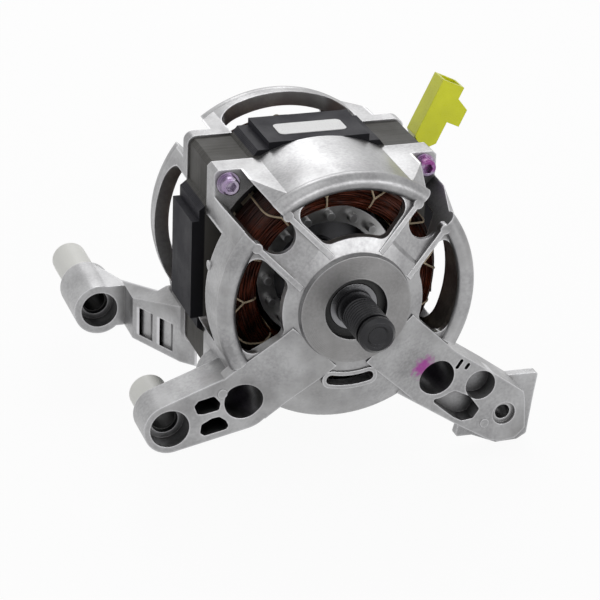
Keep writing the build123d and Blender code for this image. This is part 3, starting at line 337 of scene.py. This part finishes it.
@dataclass(frozen=True)
class CastAluminium:
    """Raw die-cast metal: soft mottle, flow marks, fine grain and stains, with painted highlights on its
    rims and painted shade in its creases and holes.
    """

    name: str = "cast_aluminium"
    bright: Colour = (0.43, 0.43, 0.435)
    dull: Colour = (0.26, 0.258, 0.263)
    # Painted shade: the colour deep inside holes and bores.
    shut: Colour = (0.004, 0.004, 0.006)
    stain_and_crease_shade: Colour = (0.13, 0.125, 0.12)
    soot_share: float = 0.35
    crease_mm: float = 7.0
    crease_shade_share: float = 0.6
    # Painted highlight: the colour laid along sharp outer edges.
    rim: Colour = (0.78, 0.78, 0.8)
    rim_mm: float = 1.3
    rim_highlight_share: float = 0.6
    turned_mm: float = 0.0
    turned_share: float = 0.5
    rings_per_mm: float = 1.1
    ring_height: float = 0.4
    hole_mm: float = 26.0
    edge_mm: float = 0.5
    depth_mm: float = 0.06
    metallic: float = 0.92
    smudges: tuple[Smudge, ...] = ()

    def build(self) -> bpy.types.Material:
        """Makes the material."""
        bench = Bench(self.name)
        mottle = bench.noise(26, 4)
        flow = bench.noise(60, 3, (1.0, 0.35, 1.0))
        grain = bench.noise(1500, 2)
        soot = bench.noise(34, 5)
        speck = bench.noise(620, 3)
        worn = (mottle * 0.4 + flow * 0.35 + speck * 0.25).span(0.39, 0.61, 0.0, 1.0)
        metal = bench.blend(worn, self.dull, self.bright)
        sooty = (soot * 0.85 + speck * 0.15).span(0.54, 0.68, 0, self.soot_share)
        metal = bench.blend(sooty, metal, self.stain_and_crease_shade)
        # Painted shade: the stain colour darkens creases and corners, where shade falls.
        metal = bench.blend(bench.hollow(self.crease_mm, 0.3, 0.85) * self.crease_shade_share, metal, self.stain_and_crease_shade)
        # Painted highlight: the pale rim colour brightens sharp outer edges.
        metal = bench.blend(bench.edge(self.rim_mm) * self.rim_highlight_share, metal, self.rim)
        relief = grain * 0.3 + speck * 0.5 + flow * 0.2
        if self.turned_mm:
            face = self.turned(bench)
            rings = (bench.from_shaft() * (self.rings_per_mm * ONE_RING_A_MM)).wave().span(-1, 1, 0, 1)
            metal = bench.blend(face * self.turned_share, metal, self.stain_and_crease_shade)
            relief = relief + face * rings * self.ring_height
        metallic: Any = self.metallic
        for smudge in self.smudges:
            mark = bench.spot(smudge.place, smudge.radius)
            metal = bench.blend(mark, metal, smudge.colour)
            metallic = metallic - mark
        # Painted shade: near black deep inside holes and bores.
        bench.colour(bench.blend(bench.hollow(self.hole_mm, 0.1, 0.5), metal, self.shut))
        bench.surface(worn.span(0, 1, 0.38, 0.29) + grain * 0.06, metallic)
        bench.relief(relief, self.depth_mm, self.edge_mm)
        return bench.material

    def turned(self, bench: Bench) -> Signal:
        """Where the casting is turned flat round the shaft.

        Args:
            bench: The material's bench.

        Returns:
            One on the turned face, nothing beyond it.
        """
        blur, front, rear = 0.2, 0.3, 0.9
        _, along, _ = bench.axes()
        near = bench.from_shaft().span((self.turned_mm - blur) * MM, (self.turned_mm + blur) * MM, 1, 0)
        return near * along.span(front * MM, rear * MM, 1, 0)


@dataclass(frozen=True)
class TurnedFace:
    """Metal turned on a lathe: fine rings about the shaft, with painted shade in holes."""

    name: str
    colour: Colour
    roughness: float
    metallic: float = 1.0
    rings_per_mm: float = 1.6
    edge_mm: float = 0.35
    hole_mm: float = 20.0
    depth_mm: float = 0.03
    worn: float = 0.72
    shaded: float = 0.12

    def build(self) -> bpy.types.Material:
        """Makes the material."""
        bench = Bench(self.name)
        rings = (bench.from_shaft() * (self.rings_per_mm * ONE_RING_A_MM)).wave().span(-1, 1, 0, 1)
        wear = bench.noise(90, 4)
        darker = tuple(part * self.worn for part in self.colour)
        metal = bench.blend(wear.span(0.35, 0.65, 0, 1), darker, self.colour)
        # Painted shade: a darkened copy of the colour deep inside holes.
        black = tuple(part * self.shaded for part in self.colour)
        bench.colour(bench.blend(bench.hollow(self.hole_mm), metal, black))
        bench.surface(wear.span(0.3, 0.7, self.roughness * 0.8, self.roughness * 1.25), self.metallic)
        bench.relief(rings * 0.6 + wear * 0.4, self.depth_mm, self.edge_mm)
        return bench.material


@dataclass(frozen=True)
class LaminationStack:
    """Varnished electrical steel: dark lines between sheets, black on the raised packs, painted shade in
    holes.
    """

    name: str = "core_steel"
    sheet_mm: float = 1.5
    dark: Colour = (0.0025, 0.0025, 0.004)
    pale: Colour = (0.016, 0.015, 0.024)
    side: Colour = (0.085, 0.082, 0.076)
    side_reach: float = 62.0
    side_step: float = 0.6
    side_dim: float = 0.7
    hole_mm: float = 14.0
    edge_mm: float = 0.3
    depth_mm: float = 0.12
    shine: float = 0.2

    def build(self) -> bpy.types.Material:
        """Makes the material."""
        bench = Bench(self.name)
        across, along, up = bench.axes()
        lines = (along * (ONE_RING_A_MM / self.sheet_mm)).wave().span(-0.4, 0.6, 0, 1)
        uneven = bench.noise(30, 3, (0.6, 16.0, 0.6))
        varnish = bench.noise(45, 4)
        shade = (lines * 0.6 + uneven * 0.4).span(0.15, 0.85, 0, 1)
        outward = across.size().larger(up.size())
        raised = outward.span(self.side_reach * MM, (self.side_reach + self.side_step) * MM, 0, 1)
        pack = bench.blend(shade, self.dark, self.pale)
        dim = tuple(part * self.side_dim for part in self.side)
        side = bench.blend(uneven.span(0.3, 0.7, 0, 1), dim, self.side)
        steel = bench.blend(raised, side, pack)
        # Painted shade: the dark colour again deep inside holes and slots.
        bench.colour(bench.blend(bench.hollow(self.hole_mm), steel, self.dark))
        bench.surface(varnish.span(0.35, 0.65, 0.5, 0.68), 0.1, self.shine)
        bench.relief(lines, self.depth_mm, self.edge_mm)
        return bench.material


@dataclass(frozen=True)
class EnamelWire:
    """Copper wire under dark brown varnish, shinier in streaks, with painted shade where it is shut in."""

    name: str
    deep: Colour = (0.003, 0.0012, 0.001)
    lit: Colour = (0.16, 0.028, 0.007)
    hole_mm: float = 26.0
    depth_mm: float = 0.08
    shine: float = 0.3

    def build(self) -> bpy.types.Material:
        """Makes the material."""
        bench = Bench(self.name)
        streak = bench.noise(240, 3)
        patch = bench.noise(38, 3)
        shade = (streak * 0.5 + patch * 0.5).span(0.35, 0.65, 0, 1)
        wire = bench.blend(shade, self.deep, self.lit)
        # Painted shade: the deep colour where the wire is shut in.
        bench.colour(bench.blend(bench.hollow(self.hole_mm, 0.12, 0.62), wire, self.deep))
        bench.surface(streak.span(0.3, 0.7, 0.34, 0.52), 0.2, self.shine)
        bench.relief(streak, self.depth_mm)
        return bench.material


@dataclass(frozen=True)
class WaxedCord:
    """Twisted lacing cord, cream and slightly soaked with varnish."""

    name: str = "lacing_cord"
    colour: Colour = (0.82, 0.66, 0.46)
    soaked: float = 0.55
    depth_mm: float = 0.2

    def build(self) -> bpy.types.Material:
        """Makes the material."""
        bench = Bench(self.name)
        twist = bench.noise(1300, 2)
        soak = bench.noise(70, 3)
        stained = tuple(part * self.soaked for part in self.colour)
        bench.colour(bench.blend(soak.span(0.35, 0.65, 0, 1), stained, self.colour))
        bench.surface(twist.span(0.3, 0.7, 0.55, 0.8))
        bench.relief(twist, self.depth_mm)
        return bench.material


@dataclass(frozen=True)
class Moulded:
    """Moulded plastic, rubber or paper: fine grain, faint flow marks and small edge radii."""

    name: str
    colour: Colour
    roughness: float = 0.42
    shift: float = 0.12
    edge_mm: float = 0.4
    through: float = 0.0
    through_reach: Colour = (0.004, 0.004, 0.002)
    hole_mm: float = 0.0
    shaded: float = 0.02
    depth_mm: float = 0.05

    def build(self) -> bpy.types.Material:
        """Makes the material."""
        bench = Bench(self.name)
        flow = bench.noise(55, 3)
        grain = bench.noise(1900, 2)
        darker = tuple(part * (1 - self.shift) for part in self.colour)
        tone = bench.blend(flow.span(0.35, 0.65, 0, 1), darker, self.colour)
        # Painted shade: a darkened copy of the colour deep inside holes.
        if self.hole_mm:
            black = tuple(part * self.shaded for part in self.colour)
            tone = bench.blend(bench.hollow(self.hole_mm, 0.5, 0.68), tone, black)
        bench.colour(tone)
        bench.surface(grain.span(0.3, 0.7, self.roughness * 0.85, self.roughness * 1.2))
        if self.through:
            bench.shader.inputs["Subsurface Weight"].default_value = self.through
            bench.shader.inputs["Subsurface Radius"].default_value = self.through_reach
        bench.relief(grain, self.depth_mm, self.edge_mm)
        return bench.material


@dataclass(frozen=True)
class PlatedSteel:
    """Zinc plated steel with a faint violet cast, a dab of inspection paint and painted shade in its socket.
    """

    name: str = "bolt_steel"
    colour: Colour = (0.4, 0.35, 0.44)
    violet: Colour = (0.26, 0.17, 0.32)
    shut: Colour = (0.02, 0.015, 0.02)
    paint: Smudge = Smudge((55.5, 48.0, 58.0), 7.0, (0.3, 0.01, 0.26))
    hole_mm: float = 5.0
    edge_mm: float = 0.2
    depth_mm: float = 0.03

    def build(self) -> bpy.types.Material:
        """Makes the material."""
        bench = Bench(self.name)
        cloud = bench.noise(160, 4)
        plate = bench.blend(cloud.span(0.42, 0.66, 0, 0.7), self.colour, self.violet)
        mark = bench.spot(self.paint.place, self.paint.radius)
        plate = bench.blend(mark, plate, self.paint.colour)
        # Painted shade: near black deep inside the socket and holes.
        bench.colour(bench.blend(bench.hollow(self.hole_mm), plate, self.shut))
        bench.surface(cloud.span(0.3, 0.7, 0.16, 0.3), 1.0 - mark)
        bench.relief(cloud, self.depth_mm, self.edge_mm)
        return bench.material


class Workshop:
    """Turns bmesh and curves into finished pieces at the origin."""

    def __init__(self) -> None:
        """Starts with no materials made."""
        self._made: dict[str, bpy.types.Material] = {}

    def coat(self, finish: Any) -> bpy.types.Material:
        """Makes a finish's material once.

        Args:
            finish: The finish.

        Returns:
            Its material.
        """
        if finish.name not in self._made:
            self._made[finish.name] = finish.build()
        return self._made[finish.name]

    def publish(
        self,
        mesh: bpy.types.Mesh,
        name: str,
        body: Body,
        slot: str,
        finish: Any,
        crease: float = 32.0,
        flat_first: bool = False,
    ) -> bpy.types.Object:
        """Links a mesh as a piece that rides on a body.

        Args:
            mesh: The finished mesh.
            name: The piece's name.
            body: The body that it rides on.
            slot: The record's material slot; not used.
            finish: Its finish.
            crease: The angle past which an edge stays sharp.
            flat_first: Whether large faces set the shading at their edges.

        Returns:
            The piece.
        """
        mesh.materials.clear()
        mesh.materials.append(self.coat(finish))
        mesh.shade_smooth()
        shape = bmesh.new()
        shape.from_mesh(mesh)
        limit = math.radians(crease)
        for edge in shape.edges:
            edge.smooth = len(edge.link_faces) == 2 and edge.calc_face_angle() <= limit
        shape.to_mesh(mesh)
        shape.free()
        piece = bpy.data.objects.new(name, mesh)
        bpy.context.scene.collection.objects.link(piece)
        if flat_first:
            normals = piece.modifiers.new("flat_faces_first", "WEIGHTED_NORMAL")
            normals.mode = "FACE_AREA"
            normals.weight = 100
            normals.keep_sharp = True
        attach(piece, body.value)
        LOG.info("%s: %d faces", name, len(mesh.polygons))
        return piece

    def smooth_copy(self, node: str, body: Body, slot: str, finish: Any) -> bpy.types.Object:
        """Replaces a CAD node by a merged copy that shades smoothly.

        Args:
            node: The CAD node.
            body: Its body.
            slot: Its material slot.
            finish: Its finish.

        Returns:
            The piece.
        """
        shape = bmesh.new()
        shape.from_mesh(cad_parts[node].data)
        bmesh.ops.remove_doubles(shape, verts=shape.verts, dist=MERGE_MM * MM)
        bmesh.ops.dissolve_degenerate(shape, edges=shape.edges, dist=SLIVER_MM * MM)
        bmesh.ops.dissolve_limit(
            shape,
            angle_limit=math.radians(FLAT_DEGREES),
            verts=shape.verts,
            edges=shape.edges,
            use_dissolve_boundaries=False,
        )
        mesh = bpy.data.meshes.new(node + "_finished")
        shape.to_mesh(mesh)
        shape.free()
        piece = self.publish(mesh, node + "_finished", body, slot, finish, SMOOTH_DEGREES, flat_first=True)
        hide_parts(node)
        return piece

    def paint_node(self, node: str, finish: Any) -> None:
        """Gives a CAD node a better material.

        Args:
            node: The CAD node.
            finish: Its finish.
        """
        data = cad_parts[node].data
        data.materials.clear()
        data.materials.append(self.coat(finish))

    def mesh_from(self, shape: bmesh.types.BMesh, name: str) -> bpy.types.Mesh:
        """Turns a bmesh into a mesh and frees it.

        Args:
            shape: The bmesh.
            name: The mesh's name.

        Returns:
            The mesh.
        """
        bmesh.ops.recalc_face_normals(shape, faces=shape.faces)
        mesh = bpy.data.meshes.new(name)
        shape.to_mesh(mesh)
        shape.free()
        return mesh

    def strings(self, name: str, runs: list[list[Vector]], radius_mm: float) -> bpy.types.Mesh:
        """Draws smooth round strings through points and makes them one mesh.

        Args:
            name: The mesh's name.
            runs: The points of each string, in metres.
            radius_mm: The strings' radius.

        Returns:
            The mesh.
        """
        curve = bpy.data.curves.new(name, "CURVE")
        curve.dimensions = "3D"
        curve.bevel_depth = radius_mm * MM
        curve.bevel_resolution = 2
        curve.resolution_u = 6
        curve.use_fill_caps = True
        for points in runs:
            spline = curve.splines.new("NURBS")
            spline.points.add(len(points) - 1)
            for point, here in zip(spline.points, points):
                point.co = (*here, 1.0)
            spline.order_u = 3
            spline.use_endpoint_u = True
        holder = bpy.data.objects.new(name, curve)
        bpy.context.scene.collection.objects.link(holder)
        drawn = holder.evaluated_get(bpy.context.evaluated_depsgraph_get())
        mesh = bpy.data.meshes.new_from_object(drawn)
        bpy.data.objects.remove(holder)
        bpy.data.curves.remove(curve)
        return mesh


def about_shaft(radius_mm: float, turn: float, station_mm: float) -> Vector:
    """A place given about the shaft.

    Args:
        radius_mm: Distance from the shaft's axis.
        turn: Degrees, counted from the right towards the top.
        station_mm: Distance behind the front hub's face.

    Returns:
        The place in metres.
    """
    angle = math.radians(turn)
    return Vector((radius_mm * math.cos(angle), station_mm, radius_mm * math.sin(angle))) * MM


@dataclass
class Castings:
    """The two die-cast brackets, their bolts and the bushes in their pivots."""

    shop: Workshop
    front: CastAluminium = CastAluminium(
        "front_casting", turned_mm=36.9, smudges=(Smudge((45.0, 13.8, -45.4), 7.5),)
    )
    rear: CastAluminium = CastAluminium("rear_casting")
    # hole_mm sets how far painted shade reaches inside the bushes.
    bush: Moulded = Moulded("bush_plastic", (0.84, 0.84, 0.8), 0.4, 0.05, 0.6, hole_mm=45.0)

    def build(self) -> None:
        """Finishes the brackets, bushes and bolts."""
        self.shop.smooth_copy("front_bracket", Body.FRAME, "cast_aluminium", self.front)
        self.shop.smooth_copy("rear_bracket", Body.FRAME, "cast_aluminium", self.rear)
        self.shop.smooth_copy("pivot_bushes", Body.FRAME, "bush_plastic", self.bush)
        self.shop.smooth_copy("through_bolts", Body.FRAME, "bolt_steel", PlatedSteel())


@dataclass
class CoreStack:
    """The laminated core with its bare label and the slot insulation."""

    shop: Workshop
    label_corners: tuple[float, float, float, float] = (-19.0, 19.0, 76.0, 91.0)
    label_round: float = 3.0
    label_height: float = 0.35
    label_steps: int = 5
    pack_top: float = 69.3
    paper: Moulded = Moulded("label_white", (0.8, 0.8, 0.8), 0.3, 0.04, 0.1)

    def build(self) -> None:
        """Finishes the core and lays the label on its top."""
        self.shop.smooth_copy("stator_core", Body.FRAME, "core_steel", LaminationStack())
        self.shop.paint_node("slot_liners", Moulded("slot_liner", (0.5, 0.43, 0.32), 0.6))
        self.shop.paint_node("slot_conductors", EnamelWire("slot_copper"))
        self.label()

    def label(self) -> None:
        """A bare white label with round corners."""
        left, right, front, rear = self.label_corners
        shape = bmesh.new()
        bmesh.ops.create_grid(shape, x_segments=1, y_segments=1, size=0.5)
        bmesh.ops.scale(shape, vec=((right - left) * MM, (rear - front) * MM, 1), verts=shape.verts)
        middle = Vector(((left + right) / 2, (front + rear) / 2, self.pack_top)) * MM
        bmesh.ops.translate(shape, vec=middle, verts=shape.verts)
        bmesh.ops.bevel(
            shape,
            geom=shape.verts[:],
            offset=self.label_round * MM,
            segments=self.label_steps,
            profile=0.5,
            affect="VERTICES",
            material=-1,
        )
        lifted = bmesh.ops.extrude_face_region(shape, geom=shape.faces[:])
        tops = [item for item in lifted["geom"] if isinstance(item, bmesh.types.BMVert)]
        bmesh.ops.translate(shape, vec=(0, 0, self.label_height * MM), verts=tops)
        mesh = self.shop.mesh_from(shape, "bare_label")
        self.shop.publish(mesh, "bare_label", Body.FRAME, "bush_plastic", self.paper)


@dataclass
class EndTurns:
    """One end of the winding: a bundle of wires tied with cord, measured in millimetres."""

    shop: Workshop
    node: str
    lacing_node: str
    near: float
    far: float
    seed: int
    inner: float = 42.6
    outer: float = 58.0
    core_sink: float = 1.0
    core_round: float = 2.4
    core_round_steps: int = 3
    core_steps: int = 72
    wires_long: int = 20
    wires_wide: int = 12
    wire_radius: float = 0.5
    wire_sides: int = 6
    wire_steps: int = 96
    wire_sink: float = 0.7
    wire_corner: float = 2.2
    swell: float = 0.34
    drift: float = 0.6
    settle: float = 0.3
    knots: int = 12
    first_knot: float = 7.5
    cord_radius: float = 0.55

    def spin(self, shape: bmesh.types.BMesh, steps: int) -> None:
        """Turns a section once round the shaft.

        Args:
            shape: The section, which becomes a ring.
            steps: The ring's steps.
        """
        bmesh.ops.spin(
            shape,
            geom=shape.verts[:] + shape.edges[:],
            cent=(0, 0, 0),
            axis=(0, 1, 0),
            dvec=(0, 0, 0),
            angle=math.tau,
            steps=steps,
            use_merge=True,
            use_duplicate=False,
        )

    def core(self) -> bmesh.types.BMesh:
        """The plain bundle that the wires lie on."""
        shape = bmesh.new()
        sink = self.core_sink
        low, high = sorted((self.near, self.far))
        corners = [
            (self.inner + sink, low + sink),
            (self.outer - sink, low + sink),
            (self.outer - sink, high - sink),
            (self.inner + sink, high - sink),
        ]
        verts = [shape.verts.new((radius * MM, station * MM, 0)) for radius, station in corners]
        for vert, after in zip(verts, verts[1:] + verts[:1]):
            shape.edges.new((vert, after))
        bmesh.ops.bevel(
            shape,
            geom=verts,
            offset=self.core_round * MM,
            segments=self.core_round_steps,
            profile=0.5,
            affect="VERTICES",
            material=-1,
        )
        self.spin(shape, self.core_steps)
        return shape

    def seats(self) -> list[tuple[float, float]]:
        """The radius and station of each wire round the bundle's section."""
        low, high = sorted((self.near, self.far))
        sink, corner = self.wire_sink, self.wire_corner
        seats = []
        for index in range(self.wires_long):
            share = (index + 0.5) / self.wires_long
            station = low + sink + corner / 2 + share * (high - low - 2 * sink - corner)
            seats.append((self.inner + sink, station))
            seats.append((self.outer - sink, station))
        for index in range(self.wires_wide):
            share = (index + 0.5) / self.wires_wide
            radius = self.inner + sink + corner / 2 + share * (self.outer - self.inner - 2 * sink - corner)
            seats.append((radius, low + sink))
            seats.append((radius, high - sink))
        return seats

    def waves(self, luck: random.Random, most: float) -> list[tuple[int, float, float]]:
        """Draws three waves round the shaft.

        Args:
            luck: The seeded numbers.
            most: The largest height.

        Returns:
            Each wave's count, phase and height.
        """
        fewest_waves, most_waves, layers = 2, 11, 3
        return [
            (luck.randint(fewest_waves, most_waves), luck.uniform(0, math.tau), luck.uniform(-most, most))
            for _ in range(layers)
        ]

    def wire(self, radius: float, station: float, luck: random.Random) -> bpy.types.Mesh:
        """Makes one wire that wanders a little as it goes round.

        Args:
            radius: Its distance from the shaft's axis.
            station: Its place along the shaft.
            luck: The seeded numbers that its wander comes from.

        Returns:
            The wire's mesh.
        """
        shape = bmesh.new()
        made = bmesh.ops.create_circle(
            shape, cap_ends=False, segments=self.wire_sides, radius=self.wire_radius * MM
        )
        bmesh.ops.translate(shape, vec=(radius * MM, station * MM, 0), verts=made["verts"])
        self.spin(shape, self.wire_steps)
        waves = self.waves(luck, self.swell)
        drift = self.waves(luck, self.drift)
        for vert in shape.verts:
            turn = math.atan2(vert.co.z, vert.co.x)
            swell = sum(size * math.sin(count * turn + phase) for count, phase, size in waves)
            slide = sum(size * math.sin(count * turn + phase) for count, phase, size in drift)
            reach = math.hypot(vert.co.x, vert.co.z)
            stretch = 1 + (swell - self.settle) * MM / reach
            vert.co.x *= stretch
            vert.co.z *= stretch
            vert.co.y += slide * MM * self.drift
        return self.shop.mesh_from(shape, self.node + "_wire")

    def build(self) -> None:
        """Lays the wires and ties them."""
        luck = random.Random(self.seed)
        shape = self.core()
        for radius, station in self.seats():
            wire = self.wire(radius, station, luck)
            shape.from_mesh(wire)
            bpy.data.meshes.remove(wire)
        name = self.node + "_wires"
        copper = EnamelWire("winding_copper")
        mesh = self.shop.mesh_from(shape, name)
        piece = self.shop.publish(mesh, name, Body.FRAME, "winding_copper", copper, ROUND_DEGREES)
        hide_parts(self.node)
        self.tie(luck)

    def tie(self, luck: random.Random) -> None:
        """Ties the bundle with knotted cord, forked over its outer face.

        Args:
            luck: The seeded numbers that the cord's unevenness comes from.
        """
        outward = 1 if self.far > self.near else -1
        face = self.far + outward * 0.35
        lying = face + outward * 0.2
        knotted = face + outward * 0.5
        over = self.far - outward * 2
        middle = (self.near + self.far) / 2
        back = self.near - outward * 0.2
        knot_ring, fork_ring, tail_ring = 50, 55, 46
        narrow, wide, fork_turn = 5.5, 8, 4
        runs = []
        for number in range(self.knots):
            turn = self.first_knot + number * 360 / self.knots + luck.uniform(-1, 1)
            knot = about_shaft(knot_ring + luck.uniform(-1, 1), turn, knotted)
            for side in (-1, 1):
                edge = turn + side * luck.uniform(narrow, wide)
                runs.append([
                    knot,
                    about_shaft(fork_ring, turn + side * fork_turn, lying),
                    about_shaft(self.outer + 0.1, edge, over),
                    about_shaft(self.outer + 0.5, edge, middle),
                    about_shaft(self.outer, edge, back),
                ])
            runs.append([
                knot,
                about_shaft(tail_ring, turn, lying),
                about_shaft(self.inner - 0.1, turn, over),
                about_shaft(self.inner - 0.5, turn, middle),
                about_shaft(self.inner, turn, back),
            ])
        name = self.lacing_node + "_cord"
        mesh = self.shop.strings(name, runs, self.cord_radius)
        piece = self.shop.publish(mesh, name, Body.FRAME, "lacing_cord", WaxedCord(), ROUND_DEGREES)
        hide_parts(self.lacing_node)


@dataclass
class TurningParts:
    """Shaft, rotor and bearings."""

    shop: Workshop
    shaft: TurnedFace = TurnedFace("shaft_steel", (0.024, 0.024, 0.027), 0.26, 0.5, hole_mm=3.0)
    # Painted shade: a dark steel tone that stands in for the shade on the bearing rings inside the hub.
    ground: TurnedFace = TurnedFace("bearing_steel", (0.24, 0.24, 0.25), 0.26)
    sheets: TurnedFace = TurnedFace("rotor_steel", (0.2, 0.2, 0.21), 0.4)
    ring: CastAluminium = CastAluminium("cage_aluminium", (0.6, 0.6, 0.6), (0.42, 0.42, 0.42), hole_mm=3.0)
    magnet: Moulded = Moulded("magnet", (0.05, 0.05, 0.055), 0.5)
    spacer: Moulded = Moulded("cage_plastic", (0.3, 0.2, 0.1), 0.5)
    rubber: Moulded = Moulded("seal_rubber", (0.02, 0.02, 0.02), 0.6)

    def build(self) -> None:
        """Finishes what turns and what carries it."""
        pieces = [
            ("shaft", Body.ROTOR, self.shaft),
            ("rotor_cage", Body.ROTOR, self.ring),
            ("rotor_core", Body.ROTOR, self.sheets),
            ("sensor_magnet", Body.ROTOR, self.magnet),
        ]
        for place, balls in (("front", Body.FRONT_BALLS), ("rear", Body.REAR_BALLS)):
            pieces += [
                (place + "_bearing_inner_ring", Body.ROTOR, self.ground),
                (place + "_bearing_outer_ring", Body.FRAME, self.ground),
                (place + "_bearing_balls", balls, self.ground),
                (place + "_bearing_cage", balls, self.spacer),
                (place + "_bearing_seals", Body.FRAME, self.rubber),
            ]
        for node, body, finish in pieces:
            self.shop.smooth_copy(node, body, finish.name, finish)


@dataclass
class Electrics:
    """The plug, its pins and the speed sensor."""

    shop: Workshop
    plug_foot: tuple[float, float, float] = (76.5, 106.0, 46.5)
    plug_tilt: float = 65.0
    yellow: Moulded = Moulded("plug_plastic", (0.8, 0.83, 0.008), 0.3, 0.12, 0.5, 0.12)
    brass: TurnedFace = TurnedFace("pin_brass", (0.6, 0.5, 0.3), 0.3)
    coil: EnamelWire = EnamelWire("sensor_winding", (0.1, 0.03, 0.012), (0.35, 0.13, 0.05))
    cover: Moulded = Moulded("dark_plastic", (0.03, 0.03, 0.034), 0.45, 0.2, 0.9)

    def turn_step(self, mesh: bpy.types.Mesh) -> None:
        """Turns the plug's step to its lower right edge, where the photograph has it.

        Args:
            mesh: The plug's finished mesh.
        """
        tilt = math.radians(self.plug_tilt)
        aside = Vector((math.sin(tilt), 0, -math.cos(tilt)))
        foot = Vector(self.plug_foot) * MM
        shape = bmesh.new()
        shape.from_mesh(mesh)
        for vert in shape.verts:
            vert.co -= 2 * aside.dot(vert.co - foot) * aside
        bmesh.ops.recalc_face_normals(shape, faces=shape.faces)
        shape.to_mesh(mesh)
        shape.free()

    def build(self) -> None:
        """Finishes the electrical pieces."""
        plug = self.shop.smooth_copy("plug_housing", Body.FRAME, self.yellow.name, self.yellow)
        self.turn_step(plug.data)
        others = {"plug_pins": self.brass, "sensor_coil": self.coil, "sensor_cover": self.cover}
        for node, finish in others.items():
            self.shop.smooth_copy(node, Body.FRAME, finish.name, finish)


@dataclass(frozen=True)
class Lamp:
    """A soft square lamp: its name, place, side in metres and watts."""

    name: str
    place: tuple[float, float, float]
    size: float
    power: float


@dataclass
class Studio:
    """The white floor and backdrop, soft lamps and the camera."""

    eye: tuple[float, float, float] = (-0.4009, -1.0443, 0.5305)
    right: tuple[float, float, float] = (0.9475, -0.3174, 0.0363)
    up: tuple[float, float, float] = (0.1042, 0.4145, 0.9041)
    back: tuple[float, float, float] = (-0.302, -0.8529, 0.4258)
    lens: float = 144.0
    lamps: tuple[Lamp, ...] = (
        Lamp("key", (-0.5, -0.5, 1.3), 1.5, 2.3),
        Lamp("fill", (0.5, -1.3, 0.15), 0.7, 5),
        Lamp("rear", (0.2, 1.0, 0.9), 0.8, 5),
    )
    aim: tuple[float, float, float] = (0.0, 0.07, 0.0)
    floor_colour: Colour = (0.86, 0.86, 0.86)
    floor_size: float = 4.0
    floor_gap: float = 0.0004
    floor_glow: float = 0.94
    sky: float = 0.42
    unlit_rays: tuple[str, ...] = ("Is Camera Ray", "Is Glossy Ray", "Is Transmission Ray")

    def camera(self) -> None:
        """Sets the camera that matches the photograph."""
        data = bpy.data.cameras.new("camera")
        data.sensor_width = 36
        data.sensor_fit = "HORIZONTAL"
        data.lens = self.lens
        data.clip_start = 0.05
        data.clip_end = 20
        holder = bpy.data.objects.new("camera", data)
        turn = Matrix((self.right, self.up, self.back)).transposed().to_4x4()
        holder.matrix_world = Matrix.Translation(self.eye) @ turn
        bpy.context.scene.collection.objects.link(holder)
        bpy.context.scene.camera = holder

    def light(self, lamp: Lamp) -> None:
        """Adds a lamp aimed at the motor.

        Args:
            lamp: The lamp.
        """
        data = bpy.data.lights.new(lamp.name, "AREA")
        data.size = lamp.size
        data.energy = lamp.power
        holder = bpy.data.objects.new(lamp.name, data)
        turn = (Vector(self.aim) - Vector(lamp.place)).to_track_quat("-Z", "Y")
        holder.matrix_world = Matrix.Translation(lamp.place) @ turn.to_matrix().to_4x4()
        bpy.context.scene.collection.objects.link(holder)

    def floor(self) -> None:
        """A pale floor under the lowest arm, white to the camera and in reflections."""
        level = min(corner[2] for corner in CAD_BOX) - self.floor_gap
        shape = bmesh.new()
        bmesh.ops.create_grid(shape, x_segments=1, y_segments=1, size=self.floor_size)
        bmesh.ops.translate(shape, vec=(0, 0, level), verts=shape.verts)
        mesh = bpy.data.meshes.new("floor")
        shape.to_mesh(mesh)
        shape.free()
        floor = bpy.data.objects.new("floor", mesh)
        bench = Bench("floor_white")
        bench.colour(self.floor_colour)
        bench.surface(0.9)
        first, *others = [bench.node("ShaderNodeLightPath", {}, {}, kind) for kind in self.unlit_rays]
        for other in others:
            first = first.larger(other)
        glow = bench.node("ShaderNodeEmission", {}, {"Color": (1, 1, 1, 1), "Strength": 1.0})
        lit = Signal(bench, bench.shader.outputs[0])
        mixed = bench.node("ShaderNodeMixShader", {}, {0: first * self.floor_glow, 1: lit, 2: glow})
        bench.tree.links.new(mixed.socket, bench.tree.nodes["Material Output"].inputs["Surface"])
        mesh.materials.append(bench.material)
        bpy.context.scene.collection.objects.link(floor)

    def world(self) -> None:
        """Soft grey light from all round, white to the camera and in reflections."""
        world = bpy.data.worlds.new("studio")
        world.use_nodes = True
        bpy.context.scene.world = world
        tree = world.node_tree
        path = tree.nodes.new("ShaderNodeLightPath")
        seen = path.outputs[self.unlit_rays[0]]
        for kind in self.unlit_rays[1:]:
            larger = tree.nodes.new("ShaderNodeMath")
            larger.operation = "MAXIMUM"
            tree.links.new(seen, larger.inputs[0])
            tree.links.new(path.outputs[kind], larger.inputs[1])
            seen = larger.outputs[0]
        shown = tree.nodes.new("ShaderNodeMapRange")
        tree.links.new(seen, shown.inputs["Value"])
        shown.inputs["To Min"].default_value = self.sky
        shown.inputs["To Max"].default_value = 1.0
        backdrop = tree.nodes["Background"]
        backdrop.inputs["Color"].default_value = (1, 1, 1, 1)
        tree.links.new(shown.outputs[0], backdrop.inputs["Strength"])

    def build(self) -> None:
        """Sets up the whole studio."""
        self.camera()
        self.world()
        self.floor()
        for lamp in self.lamps:
            self.light(lamp)
        bpy.context.scene.view_settings.view_transform = "Standard"


def main() -> None:
    """Builds the studio and dresses each group of pieces."""
    logging.basicConfig(level=logging.INFO, format="%(name)s %(relativeCreated)d ms %(message)s")
    shop = Workshop()
    Studio().build()
    Castings(shop).build()
    CoreStack(shop).build()
    EndTurns(shop, "winding_front", "lacing_front", 63.0, 35.0, seed=7).build()
    EndTurns(shop, "winding_rear", "lacing_rear", 108.0, 136.0, seed=11).build()
    TurningParts(shop).build()
    Electrics(shop).build()


if __name__ == "__main__":
    main()
